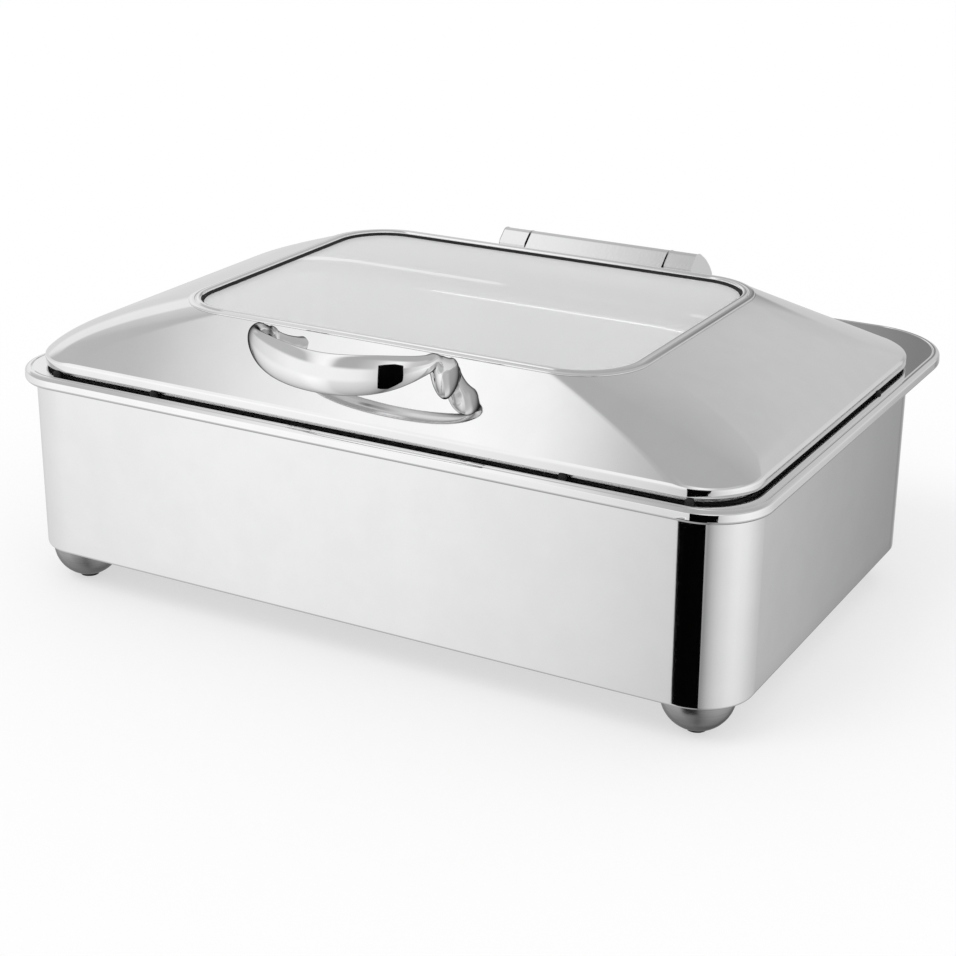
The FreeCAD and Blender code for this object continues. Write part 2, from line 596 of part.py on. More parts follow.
def make_pans():
    """The food pan lies with its flange on the water pan's flange, and that one on the rim."""
    lap = S["pan_flange"]
    half_x, half_y = S["pan_width"] / 2, S["pan_depth"] / 2
    food_top = (half_x - lap, half_y - lap, S["food_pan_corner"])
    draft = S["food_pan_draft"]
    food_low = (food_top[0] - draft, food_top[1] - draft, S["food_pan_low_corner"])
    top = BATH_FLANGE_TOP + S["food_pan_sheet"]
    food = pan("food_pan", top, S["food_pan_sheet"], food_top, food_low, S["food_pan_height"],
               (half_x, half_y), S["pan_flange_corner"])
    publish("food_pan", food)
    bath = bath_top()
    lean = S["bath_draft"]
    bath_low = (bath[0] - lean, bath[1] - lean, S["bath_low_corner"])
    reach = S["bath_flange"]
    water = pan("water_pan", BATH_FLANGE_TOP, S["bath_sheet"], bath, bath_low,
                S["bath_height"] + S["bath_sheet"], (bath[0] + reach, bath[1] + reach), S["bath_flange_corner"])
    publish("water_pan", water)


def clamp_rows():
    """x of the three clamp bars."""
    return [-S["clamp_pitch"], size(0), S["clamp_pitch"]]


def stud_reach():
    """How far the studs stand in front of and behind the middle, clear of the element."""
    return 1.5 * S["element_pitch"] + S["element_radius"] + S["stud_gap"] + S["nut_radius"]


def stud_points():
    """Two studs for each clamp bar, outside the element's loops."""
    reach = stud_reach()
    return [(x, side * reach) for x in clamp_rows() for side in (-1, 1)]


def element_route():
    """The heating element: four runs along X joined by three half turns, and two tails that turn down."""
    pitch, run = S["element_pitch"].value, S["element_run"].value / 2
    z, tail = ELEMENT_MIDDLE.value, S["element_tail"].value
    rows = [(step - 1.5) * pitch for step in range(4)]
    return rows, run, z, tail


def element_shape():
    rows, run, z, tail = element_route()
    radius = (rows[1] - rows[0]) / 2
    edges = []
    first = FreeCAD.Vector(run + tail, rows[0], z)
    edges.append(Part.LineSegment(first, FreeCAD.Vector(-run, rows[0], z)).toShape())
    side = -1
    for low, high in zip(rows, rows[1:]):
        start, end = FreeCAD.Vector(side * run, low, z), FreeCAD.Vector(side * run, high, z)
        middle = FreeCAD.Vector(side * (run + radius), (low + high) / 2, z)
        edges.append(Part.Arc(start, middle, end).toShape())
        side = -side
        reach = run + tail if high == rows[-1] else run
        edges.append(Part.LineSegment(end, FreeCAD.Vector(side * reach, high, z)).toShape())
    ring = Part.Wire(Part.Circle(first, FreeCAD.Vector(1, 0, 0), S["element_radius"].value).toShape())
    return Part.Wire(edges).makePipeShell([ring], True, True)


def make_heater():
    """Under the water pan: a plate that spreads the heat, the element, its clamps, the insulation and the
    shield below them, and a disc cut-out that opens when the pan boils dry."""
    half_x, half_y = S["heater_width"] / 2, S["heater_depth"] / 2
    owner = body("heater_plate")
    outline = rounded(owner, "plate_outline", HEATER_UNDER, half_x, half_y, half_y, S["heater_corner"],
                      S["heater_corner"])
    pad(owner, outline, S["heater_thick"])
    clear = S["stud_radius"] + S["stud_hole_gap"]
    pocket(owner, circles(owner, "plate_holes", "XY_Plane", BATH_BOTTOM, clear, stud_points()),
           S["heater_thick"])
    publish("heater_plate", owner)
    publish("heating_element", solid("heating_element", element_shape()))

    bars = body("element_clamps")
    reach = stud_reach() + S["clamp_width"] / 2
    end = S["clamp_width"] / 2 - 0.01
    for number, x in enumerate(clamp_rows()):
        bar = rounded(bars, "bar_%d" % number, CLAMP_UNDER, S["clamp_width"] / 2, reach, reach, end, end,
                      middle=x)
        pad(bars, bar, S["clamp_thick"])
    pocket(bars, circles(bars, "bar_holes", "XY_Plane", CLAMP_UNDER + S["clamp_thick"], clear, stud_points()),
           S["clamp_thick"])
    publish("element_clamps", bars)

    studs = body("clamp_studs")
    pad(studs, circles(studs, "stud_rods", "XY_Plane", STUD_END, S["stud_radius"], stud_points()),
        BATH_BOTTOM - STUD_END)
    publish("clamp_studs", studs)
    nuts = body("clamp_nuts")
    pad(nuts, circles(nuts, "nut_rounds", "XY_Plane", CLAMP_UNDER, S["nut_radius"], stud_points()),
        S["nut_height"], reverse=True)
    pocket(nuts, circles(nuts, "nut_bores", "XY_Plane", CLAMP_UNDER, S["stud_radius"] + S["running_gap"],
                         stud_points()), S["nut_height"])
    publish("clamp_nuts", nuts)

    block = body("insulation_pad")
    pad(block, rounded(block, "pad_outline", INSULATION_BOTTOM, half_x, half_y, half_y, S["heater_corner"],
                       S["heater_corner"]), S["insulation_thick"])
    publish("insulation_pad", block)

    skin, margin = S["shield_sheet"], S["shield_margin"]
    shield = body("heat_shield")
    corner = S["heater_corner"] + skin
    lower = rounded(shield, "shield_wall", SHIELD_BOTTOM, half_x + skin, half_y + skin, half_y + skin, corner,
                    corner)
    pad(shield, lower, S["insulation_thick"] + skin)
    brim = rounded(shield, "shield_brim", STUD_END, half_x + margin, half_y + margin, half_y + margin,
                   corner + margin, corner + margin)
    pad(shield, brim, skin)
    hollow = rounded(shield, "shield_hollow", INSULATION_BOTTOM, half_x, half_y, half_y, S["heater_corner"],
                     S["heater_corner"])
    pocket(shield, hollow, S["insulation_thick"] + skin, reverse=True)
    publish("heat_shield", shield)
    spacers = body("shield_spacers")
    x, y = half_x - S["spacer_inset_x"], half_y - S["spacer_inset_y"]
    spots = [(sx * x, sy * y) for sx in (-1, 1) for sy in (-1, 1)]
    pad(spacers, circles(spacers, "spacer_rounds", "XY_Plane", BASE_TOP, S["spacer_radius"], spots),
        SHIELD_BOTTOM - BASE_TOP)
    publish("shield_spacers", spacers)

    x = half_x + S["cutout_radius"] + S["cutout_gap"]
    under = BATH_BOTTOM - S["cutout_height"]
    can = cylinder("cutout_can", S["cutout_radius"], S["cutout_height"], (-x, 0, under))
    thick = S["tab_thick"] / 2
    tabs = []
    for number, side in enumerate((-1, 1)):
        at = side * S["tab_reach"] - x
        tabs.append(box("cutout_tab_%d" % number, (at - S["tab_half"], -thick, under - S["tab_length"]),
                        (at + S["tab_half"], thick, under)))
    publish("overheat_cutout", fuse("overheat_cutout", can, *tabs))


def panel_screw_points():
    x = S["panel_width"] / 2 - S["panel_lap"] / 2
    z = S["panel_height"] / 2 - S["panel_lap"] / 2
    middle = S["controls_height"]
    return [(PANEL_X + sx * x, middle + sz * z) for sx in (-1, 1) for sz in (-1, 1)]


def upright(owner, name, face_y, half_width, half_height, corner, middle):
    """A rounded rectangle on a plane that faces the back, level with the controls."""
    z = S["controls_height"]
    return rounded(owner, name, -face_y, half_width, half_height - z, z + half_height, corner, corner,
                   "XZ_Plane", middle)


def make_panel():
    """The control panel on the back wall."""
    z, thick = S["controls_height"], S["panel_thick"]
    owner = body("control_panel")
    outline = upright(owner, "panel_outline", BODY_Y, S["panel_width"] / 2, S["panel_height"] / 2,
                      S["panel_corner"], PANEL_X)
    pad(owner, outline, thick, reverse=True)
    small = circles(owner, "panel_screw_holes", "XZ_Plane", -BODY_Y,
                    S["panel_screw_radius"] + S["running_gap"], panel_screw_points())
    pocket(owner, small, thick)
    shaft = circles(owner, "shaft_hole", "XZ_Plane", -BODY_Y, S["shaft_radius"] + S["shaft_hole_gap"],
                    [(KNOB_X, z)])
    pocket(owner, shaft, thick)
    lamp = circles(owner, "lamp_hole", "XZ_Plane", -BODY_Y, S["lamp_radius"] + S["running_gap"],
                   [(LAMP_X, z)])
    pocket(owner, lamp, thick)
    gap = S["running_gap"]
    switch = upright(owner, "switch_hole", BODY_Y, S["switch_width"] / 2 + gap, S["switch_height"] / 2 + gap,
                     1.0, SWITCH_X)
    pocket(owner, switch, thick)
    inlet = upright(owner, "inlet_hole", BODY_Y, S["inlet_width"] / 2 + gap, S["inlet_height"] / 2 + gap,
                    3.0, INLET_X)
    pocket(owner, inlet, thick)
    pitch = S["inlet_screw_pitch"] / 2
    ends = [(INLET_X + side * pitch, z) for side in (-1, 1)]
    near = circles(owner, "inlet_screw_holes", "XZ_Plane", -BODY_Y, S["panel_screw_radius"] + gap, ends)
    pocket(owner, near, thick)
    publish("control_panel", owner)
    shank = thick + S["wall"] + S["panel_screw_overrun"]
    outer = screws("panel_screw_set", "XZ_Plane", -PANEL_FACE, panel_screw_points(), S["panel_screw_radius"],
                   shank, S["panel_screw_head"], S["panel_screw_head_height"], flip=True)
    collar = S["inlet_flange_thick"]
    shank = collar + thick + S["inlet_screw_overrun"]
    inner = screws("inlet_screw_set", "XZ_Plane", -(PANEL_FACE + collar), ends, S["panel_screw_radius"],
                   shank, S["panel_screw_head"], S["panel_screw_head_height"], flip=True)
    publish("panel_screws", group("panel_screws", outer, inner))


def make_thermostat():
    """The thermostat behind the panel, its shaft and knob, the capillary tube and the sensing bulb."""
    x, z = KNOB_X, S["controls_height"]
    half, depth = S["thermostat_side"] / 2, S["thermostat_depth"]
    case = box("thermostat_case", (x - half, BODY_Y - depth, z - half), (x + half, BODY_Y, z + half))
    within = S["shaft_in_case"]
    deep = within + S["shaft_end_gap"]
    bore = cylinder("thermostat_bore", S["shaft_radius"] + S["running_gap"], deep, (x, BODY_Y - deep, z),
                    axis="y")
    publish("thermostat_body", cut("thermostat_body", case, bore))
    start = PANEL_FACE + S["knob_gap"]
    socket = S["knob_length"] - S["knob_cap"]
    publish("thermostat_shaft", cylinder("thermostat_shaft", S["shaft_radius"],
                                         start + socket - BODY_Y + within, (x, BODY_Y - within, z), axis="y"))
    skirt = cylinder("knob_skirt", S["knob_skirt"], S["knob_skirt_thick"], (x, start, z), axis="y")
    grip = cylinder("knob_grip", S["knob_radius"], S["knob_length"], (x, start, z), axis="y")
    wide = S["ridge_half"]
    ridge = box("knob_ridge", (x - wide, start, z),
                (x + wide, start + S["knob_length"] + S["ridge_lift"], z + S["knob_radius"] - S["ridge_inset"]))
    hole = cylinder("knob_bore", S["shaft_radius"], socket, (x, start, z), axis="y")
    publish("thermostat_knob", cut("thermostat_knob", fuse("knob_form", skirt, grip, ridge), hole))
    disc = cylinder("dial_disc", S["dial_radius"], S["dial_thick"], (x, PANEL_FACE, z), axis="y")
    clear = cylinder("dial_hole", S["shaft_radius"] + S["shaft_hole_gap"], S["dial_thick"],
                     (x, PANEL_FACE, z), axis="y")
    publish("dial_plate", cut("dial_plate", disc, clear))

    wide, ear = S["bulb_radius"] + S["clip_sheet"], S["clip_ear"]
    bulb_y = S["heater_depth"] / 2 + S["bulb_gap"] + ear + wide
    bulb_z = BATH_BOTTOM - S["bulb_radius"]
    half_bulb, half_clip = S["bulb_length"] / 2, S["clip_width"] / 2
    publish("sensor_bulb", cylinder("sensor_bulb", S["bulb_radius"], S["bulb_length"],
                                    (-half_bulb, bulb_y, bulb_z), axis="x"))
    clips = []
    for number, side in enumerate((-1, 1)):
        near, far = side * S["clip_reach"] - half_clip, side * S["clip_reach"] + half_clip
        strap = box("clip_strap_%d" % number, (near, bulb_y - wide - ear, bulb_z - wide),
                    (far, bulb_y + wide + ear, BATH_BOTTOM))
        room = cylinder("clip_room_%d" % number, S["bulb_radius"] + S["running_gap"], S["clip_width"],
                        (near, bulb_y, bulb_z), axis="x")
        top_room = box("clip_gap_%d" % number, (near, bulb_y - S["bulb_radius"] - S["running_gap"], bulb_z),
                       (far, bulb_y + S["bulb_radius"] + S["running_gap"], BATH_BOTTOM))
        below = BATH_BOTTOM - S["clip_sheet"]
        ears = [box("clip_ear_%d_%d" % (number, n), (near, start, bulb_z - wide), (far, start + ear, below))
                for n, start in enumerate((bulb_y - wide - ear, bulb_y + wide))]
        clips.append(cut("clip_%d" % number, strap, room, top_room, *ears))
    publish("bulb_clips", group("bulb_clips", *clips))

    end_x, level = half_bulb.value, bulb_z.value
    case_y, case_top = (BODY_Y - depth).value, (z + half).value
    route = [(end_x, bulb_y.value, level), (end_x + 14, bulb_y.value, level),
             (end_x + 26, bulb_y.value + 6, level - 8), (x.value - 6, bulb_y.value + 12, level - 12),
             (x.value, case_y - 12, z.value + 8), (x.value, case_y, z.value + 8)]
    publish("capillary_tube", solid("capillary_tube", tube(route, S["capillary_radius"].value)))


def make_switch():
    """The rocker switch: a housing with a bezel, and a rocker that tips about a level pin line."""
    x, z, gap = SWITCH_X, S["controls_height"], S["running_gap"]
    half_w, half_h, rim = S["switch_width"] / 2, S["switch_height"] / 2, S["switch_bezel"]
    face = PANEL_FACE + S["switch_face"]
    owner = body("housing_form")
    pad(owner, upright(owner, "housing_block", BODY_Y - S["switch_depth"], half_w, half_h, 1.0, x),
        S["switch_depth"] + S["panel_thick"], reverse=True)
    pad(owner, upright(owner, "housing_bezel", PANEL_FACE, half_w + rim, half_h + rim, 1.6, x),
        S["switch_face"], reverse=True)
    room = upright(owner, "housing_room", face, half_w - rim, half_h - rim, 0.8, x)
    pocket(owner, room, S["switch_room"], reverse=True)
    pin, ear = S["rocker_pin"], S["rocker_ear"]
    at = (PANEL_FACE - S["rocker_set_back"], z)
    holes = cylinder("rocker_pin_holes", pin + gap, S["switch_width"] - 2 * rim + 2 * (ear + gap),
                     (x - half_w + rim - ear - gap, *at), axis="x")
    publish("switch_housing", cut("switch_housing", owner, holes))
    reach = half_h - rim - S["rocker_gap"]
    wide = half_w - rim - S["rocker_gap"] / 2
    deep, lift, waist = -S["rocker_depth"], S["rocker_lift"], S["rocker_waist"]
    points = [(deep, -reach * 0.6), (deep, reach * 0.6), (0, reach), (lift, reach * 0.97), (waist, 0),
              (lift, -reach * 0.97), (0, -reach)]
    outline = [FreeCAD.Vector(-wide.value, size(dy).value, size(dz).value) for dy, dz in points]
    face_shape = Part.Face(Part.makePolygon(outline + outline[:1]))
    blade = face_shape.extrude(FreeCAD.Vector(2 * wide.value, 0, 0))
    reach = (half_w - rim + ear).value
    axle = Part.makeCylinder(pin.value, 2 * reach, FreeCAD.Vector(-reach, 0, 0), FreeCAD.Vector(1, 0, 0))
    rocker = solid("switch_rocker", blade.fuse(axle))
    tilt = FreeCAD.Rotation(FreeCAD.Vector(1, 0, 0), -S["rocker_tilt"].value)
    publish("switch_rocker", place(rocker, x, *at, turn=tilt))


def make_lamp():
    x, z = LAMP_X, S["controls_height"]
    publish("indicator_lamp", cylinder("indicator_lamp", S["lamp_radius"], S["lamp_length"] + S["panel_thick"],
                                       (x, BODY_Y - S["lamp_length"], z), axis="y"))
    disc = S["lens_height"] - S["lens_bevel"]
    lens = cylinder("lens_disc", S["lens_radius"], disc, (x, PANEL_FACE, z), axis="y")
    crown = new("Part::Cone", "lens_crown")
    bind(crown, "Radius1", S["lens_radius"])
    bind(crown, "Radius2", S["lens_radius"] - S["lens_bevel_width"])
    bind(crown, "Height", S["lens_bevel"])
    place(crown, x, PANEL_FACE + disc, z, axis="y")
    publish("indicator_lens", fuse("indicator_lens", lens, crown))


def make_inlet():
    """The power inlet: a housing with a flange, a socket with three blades."""
    x, z = INLET_X, S["controls_height"]
    half_w, half_h, skin = S["inlet_width"] / 2, S["inlet_height"] / 2, S["inlet_wall"]
    face = PANEL_FACE + S["inlet_flange_thick"]
    owner = body("power_inlet")
    pad(owner, upright(owner, "inlet_block", BODY_Y - S["inlet_depth"], half_w, half_h, 3.0, x),
        S["inlet_depth"] + S["panel_thick"], reverse=True)
    pad(owner, upright(owner, "inlet_collar", PANEL_FACE, S["inlet_flange"] / 2, half_h + 1.5, 4.0, x),
        S["inlet_flange_thick"], reverse=True)
    pocket(owner, upright(owner, "inlet_socket", face, half_w - skin, half_h - skin, 2.5, x),
           S["inlet_socket_depth"], reverse=True)
    pitch = S["inlet_screw_pitch"] / 2
    ends = [(x + side * pitch, z) for side in (-1, 1)]
    holes = circles(owner, "collar_holes", "XZ_Plane", -face, S["panel_screw_radius"] + S["running_gap"], ends)
    pocket(owner, holes, S["inlet_flange_thick"], reverse=True)
    floor = face - S["inlet_socket_depth"]
    wide, high, front = S["blade_half_width"], S["blade_half_height"], face - S["blade_set_back"]
    reach, rise = S["blade_reach"], S["blade_rise"]
    blades = [box("inlet_blade_%d" % number, (x + dx - wide, floor, z + dz - high),
                  (x + dx + wide, front, z + dz + high))
              for number, (dx, dz) in enumerate(((-reach, -rise), (reach, -rise), (size(0), rise)))]
    publish("power_inlet", owner)
    publish("inlet_pins", group("inlet_pins", *blades))


def make_wiring():
    """The terminal block on the base plate, and the wires between the supply, the controls and the heater.
    Each wire starts and ends square on the face that it joins."""
    mid_x, mid_y = INLET_X - S["block_reach"], S["heater_depth"] / 2 + S["block_gap"]
    low = (mid_x - S["block_width"] / 2, mid_y - S["block_depth"] / 2, BASE_TOP)
    high = (mid_x + S["block_width"] / 2, mid_y + S["block_depth"] / 2, BASE_TOP + S["block_height"])
    block = box("terminal_case", low, high)
    edge, deep = S["slot_edge"], S["slot_depth"]
    starts = [low[0] + S["slot_start"] + S["slot_pitch"] * number for number in range(4)]
    slots = [box("terminal_slot_%d" % number, (start, low[1] + edge, high[2] - deep),
                 (start + S["slot_width"], high[1] - edge, high[2])) for number, start in enumerate(starts)]
    publish("terminal_block", cut("terminal_block", block, *slots))
    radius = S["wire_radius"].value
    z = S["controls_height"].value
    inlet_back = (BODY_Y - S["inlet_depth"]).value
    switch_back = (BODY_Y - S["switch_depth"]).value
    case_back = (BODY_Y - S["thermostat_depth"]).value
    block_top = high[2].value
    block_back, block_front = high[1].value, low[1].value
    entry = block_top - 10
    ix, sx, kx = INLET_X.value, SWITCH_X.value, KNOB_X.value
    bx = low[0].value
    rows, run, level, tail = element_route()
    end_x = run + tail
    out_x = (S["heater_width"] / 2 + S["shield_margin"] + S["wire_gap"]).value
    out_y = (S["heater_depth"] / 2).value
    lines = {
        "live": [(ix - 6, inlet_back, z + 4), (ix - 6, inlet_back - 12, z + 4),
                 (ix - 20, inlet_back - 15, z + 7), (sx + 5, switch_back - 14, z + 6),
                 (sx + 5, switch_back, z + 6)],
        "neutral": [(ix + 6, inlet_back, z), (ix + 6, inlet_back - 9, z), (ix + 2, block_back + 11, z - 14),
                    (bx + 51, block_back + 9, entry), (bx + 51, block_back, entry)],
        "switched": [(sx - 5, switch_back, z - 6), (sx - 5, switch_back - 12, z - 6),
                     (sx - 22, case_back - 12, z - 4), (kx + 8, case_back - 13, z - 5),
                     (kx + 8, case_back, z - 5)],
        "heater_near": [(bx + 23, block_front, entry), (bx + 23, block_front - 9, entry),
                        (out_x, out_y + 5, entry + 10), (out_x + 2, rows[-1] + 6, level),
                        (end_x + 12, rows[-1], level), (end_x, rows[-1], level)],
        "heater_far": [(bx + 37, block_front, entry), (bx + 37, block_front - 10, entry),
                       (out_x + 10, out_y + 4, entry + 2), (out_x + 14, 0, level - 6),
                       (out_x + 6, rows[0] + 10, level), (end_x + 13, rows[0], level),
                       (end_x, rows[0], level)],
    }
    wires = [solid("wire_" + name, tube(route, radius)) for name, route in lines.items()]
    publish("inner_wires", group("inner_wires", *wires))


# The lid.

def lid_loop(owner, name, share, wall_side=0, wall_front=0, wall_back=0, drop=0):
    """One level of the lid's slope. share goes from 0 at the lip to 1 at the window, and the four slopes
    bulge outwards by the crown between the two."""
    bulge = 4 * share * (1 - share)
    half = LID_X + (WINDOW_X + S["bezel_width"] - LID_X) * share + S["crown_width"] * bulge - wall_side
    front = (S["lid_front"] + (S["window_front"] + S["bezel_width"] - S["lid_front"]) * share
             + S["crown_front"] * bulge - wall_front)
    back = (S["lid_back"] + (S["window_back"] + S["bezel_width"] - S["lid_back"]) * share
            + S["crown_back"] * bulge - wall_back)
    outer_corner = S["window_corner"] + S["bezel_width"]
    front_corner = (S["lid_front_corner"] + (outer_corner - S["lid_front_corner"]) * share
                    + S["hip_front"] * bulge - wall_front)
    back_corner = (S["lid_back_corner"] + (outer_corner - S["lid_back_corner"]) * share
                   + S["hip_back"] * bulge - wall_front)
    level = LIP_TOP + S["lid_rise"] * share - drop * share
    return rounded(owner, name, level, half, front, back, front_corner, back_corner)


SHARES = (0, 0.25, 0.5, 0.75, 1)

# How much further in the slopes' inner faces stand, against the sheet, so that the sheet stays even.
SIDE_WALL, BACK_WALL = 1.5, 1.2


def lid_form(name):
    """The lid's outside as a full solid: the upright lip and the crowned slopes."""
    owner = body(name)
    lip = rounded(owner, name + "_lip", LID_LOW, LID_X, S["lid_front"], S["lid_back"], S["lid_front_corner"],
                  S["lid_back_corner"])
    pad(owner, lip, S["lip_height"])
    loft(owner, [lid_loop(owner, "%s_%d" % (name, n), share) for n, share in enumerate(SHARES)])
    return owner


def slope_place(share, x, side="front"):
    """A point on the front or back slope, and the outward normal there."""
    if side == "front":
        sign, edge, top, crown = -1, S["lid_front"], S["window_front"] + S["bezel_width"], S["crown_front"]
    else:
        sign, edge, top, crown = 1, S["lid_back"], S["window_back"] + S["bezel_width"], S["crown_back"]
    reach = edge.value + (top.value - edge.value) * share + crown.value * 4 * share * (1 - share)
    slope = (top.value - edge.value) + crown.value * 4 * (1 - 2 * share)
    rise = S["lid_rise"].value
    point = FreeCAD.Vector(x, sign * reach, LIP_TOP.value + rise * share)
    normal = FreeCAD.Vector(0, sign * rise, -slope).normalize()
    return point, normal


def rod(name, radius, start, direction, length):
    """A cylinder from a point along any direction."""
    return solid(name, Part.makeCylinder(radius, length, start, direction))


HANDLE_BOLT_SHARE = S["post_share"].value
ARM_SCREW_SHARE = 0.17
ARM_SCREWS = [side * S[name].value for side, name in ((-1, "arm_screw_far"), (-1, "arm_screw_near"),
                                                      (1, "arm_screw_near"), (1, "arm_screw_far"))]
DRILL = 8.0


def post_places():
    """x of the handle's two posts."""
    reach = S["handle_half"].value - S["post_inset"].value
    return [S["handle_x"].value + side * reach for side in (-1, 1)]


def lid_drills():
    """The holes in the lid for the handle's bolts and the hinge arm's screws."""
    drills = []
    for number, x in enumerate(post_places()):
        point, normal = slope_place(HANDLE_BOLT_SHARE, x)
        radius = (S["handle_bolt"] + S["bolt_hole_gap"]).value
        drills.append(rod("handle_drill_%d" % number, radius, point - normal * DRILL, normal, 2 * DRILL))
    for number, x in enumerate(ARM_SCREWS):
        point, normal = slope_place(ARM_SCREW_SHARE, x, "back")
        radius = (S["hinge_screw"] + S["arm_hole_gap"]).value
        drills.append(rod("arm_drill_%d" % number, radius, point - normal * DRILL, normal, 2 * DRILL))
    return drills


def make_lid():
    """The shell: the outside form less the inside form, less the window and the drilled holes."""
    inside = body("lid_hollow")
    skin = S["lid_sheet"]
    side, front, back = skin * SIDE_WALL, skin, skin * BACK_WALL
    lip = rounded(inside, "hollow_lip", LID_LOW, LID_X - skin, S["lid_front"] - skin, S["lid_back"] - skin,
                  S["lid_front_corner"] - skin, S["lid_back_corner"] - skin)
    pad(inside, lip, S["lip_height"])
    loft(inside, [lid_loop(inside, "hollow_level_%d" % n, share, side, front, back, skin)
                  for n, share in enumerate(SHARES)])
    window = body("window_opening")
    grow = S["seal_lip"]
    outline = rounded(window, "opening_outline", LID_TOP - DRILL, WINDOW_X + grow, S["window_front"] + grow,
                      S["window_back"] + grow, S["window_corner"] + grow, S["window_corner"] + grow)
    pad(window, outline, 2 * DRILL)
    publish("lid_shell", cut("lid_shell", lid_form("lid_outside"), inside, window, *lid_drills()))


def frame_ring(label, under, thick, outer, inner):
    """A flat ring round the window; outer and inner are how far it reaches outside the window's edge."""
    owner = body(label)
    corner = S["window_corner"]
    pad(owner, rounded(owner, label + "_outer", under, WINDOW_X + outer, S["window_front"] + outer,
                       S["window_back"] + outer, corner + outer, corner + outer), thick)
    pocket(owner, rounded(owner, label + "_inner", under, WINDOW_X + inner, S["window_front"] + inner,
                          S["window_back"] + inner, corner + inner, corner + inner), thick, reverse=True)
    return owner


def stud_ring():
    """Studs under the lid round the glass, where the retainer is held."""
    out = S["glass_lap"] + S["retainer_stud"] + S["retainer_gap"]
    x, front, back = WINDOW_X + out, S["window_front"] + out, S["window_back"] + out
    along = [-S["stud_far"], size(0), S["stud_far"]]
    return ([(place_x, -front) for place_x in along] + [(place_x, back) for place_x in along]
            + [(side * x, end * S["stud_near"]) for side in (-1, 1) for end in (-1, 1)])


def make_window():
    """From the top: the trim ring, the seal with its lip, the glass, and the ring that holds it from below."""
    publish("window_bezel", frame_ring("window_bezel", LID_TOP, S["bezel_height"], S["bezel_width"], size(0)))
    gap = S["seal_gap"]
    seal = frame_ring("window_gasket", SEAL_UNDER, S["seal_thick"], S["glass_lap"], gap)
    lip_out = S["seal_lip"]
    corner = S["window_corner"]
    pad(seal, rounded(seal, "seal_lip_outline", SEAL_UNDER, WINDOW_X + lip_out, S["window_front"] + lip_out,
                      S["window_back"] + lip_out, corner + lip_out, corner + lip_out),
        S["seal_thick"] + S["lid_sheet"])
    pocket(seal, rounded(seal, "seal_lip_room", SEAL_UNDER, WINDOW_X + gap, S["window_front"] + gap,
                         S["window_back"] + gap, corner + gap, corner + gap),
           S["seal_thick"] + S["lid_sheet"], reverse=True)
    publish("window_gasket", seal)
    lap = S["glass_lap"]
    glass = body("window_glass")
    pad(glass, rounded(glass, "glass_outline", GLASS_UNDER, WINDOW_X + lap, S["window_front"] + lap,
                       S["window_back"] + lap, corner + lap, corner + lap), S["glass_thick"])
    publish("window_glass", glass)
    clear = S["retainer_stud"] + S["running_gap"]
    wide = lap + S["retainer_stud"] + S["retainer_gap"] + S["retainer_head"]
    retainer = frame_ring("window_retainer", RETAINER_UNDER, S["retainer_thick"], wide, S["retainer_inset"])
    pocket(retainer, circles(retainer, "retainer_holes", "XY_Plane", GLASS_UNDER, clear, stud_ring()),
           S["retainer_thick"])
    publish("window_retainer", retainer)
    shank = LID_TOP - S["lid_sheet"] - S["stud_end_gap"] - RETAINER_UNDER
    held = screws("retainer_screws", "XY_Plane", RETAINER_UNDER, stud_ring(), S["retainer_stud"], shank,
                  S["retainer_head"], S["retainer_head_height"], flip=True)
    publish("retainer_screws", held)


def handle_stations():
    """Places along half the handle, from the middle to the lid: the middle of each section, the direction
    of its height, its half height and its half thickness. The bow is an oval seen from above, and its upper
    edge leans inwards all along."""
    half = S["handle_half"].value
    front, middle = S["handle_front"].value, S["handle_middle"].value
    thick, tall = S["handle_thick"].value / 2, S["handle_height"].value / 2
    neck_t, neck_h = S["neck_width"].value / 2, S["neck_height"].value / 2
    neck_line = S["neck_line"].value
    foot, normal = slope_place(HANDLE_BOLT_SHARE, half - S["post_inset"].value)
    along = normal.cross(FreeCAD.Vector(1, 0, 0))
    lean = S["handle_lean"].value / (2 * tall)
    wide, deep = half - neck_t, front - thick - neck_line
    stations = []
    for step in range(10):
        angle = math.radians(90 * step / 9)
        share = math.sin(angle)
        point = FreeCAD.Vector(wide * share, -neck_line - deep * math.cos(angle),
                               middle + S["handle_rise"].value * share ** 2)
        inward = FreeCAD.Vector(-deep * share, wide * math.cos(angle), 0).normalize()
        up = (inward * lean + FreeCAD.Vector(0, 0, 1)).normalize()
        fade = share ** 4
        stations.append((point, up, tall + (neck_h - tall) * fade, thick + (neck_t - thick) * fade))
    neck = stations[-1][0]
    wide, high = S["post_width"].value / 2, S["post_height"].value / 2
    for share in (0.12, 0.35, 0.6, 0.82, 1.0, 1.08):
        point = neck + (foot - neck) * share
        blend = min(share, 1)
        turned = (up * (1 - blend) + along * blend).normalize()
        flare = blend ** 1.8
        stations.append((point, turned, neck_h + (high - neck_h) * flare, neck_t + (wide - neck_t) * flare))
    return stations


def ellipse_wire(middle, tangent, up, half_height, half_thick):
    """A closed oval across a path."""
    side = tangent.cross(up).normalize()
    up = side.cross(tangent).normalize()
    major, minor = (up, side) if half_height >= half_thick else (side, up)
    big, small = max(half_height, half_thick), min(half_height, half_thick)
    oval = Part.Ellipse(middle + major * big, middle + minor * small, middle)
    return Part.Wire(oval.toShape())


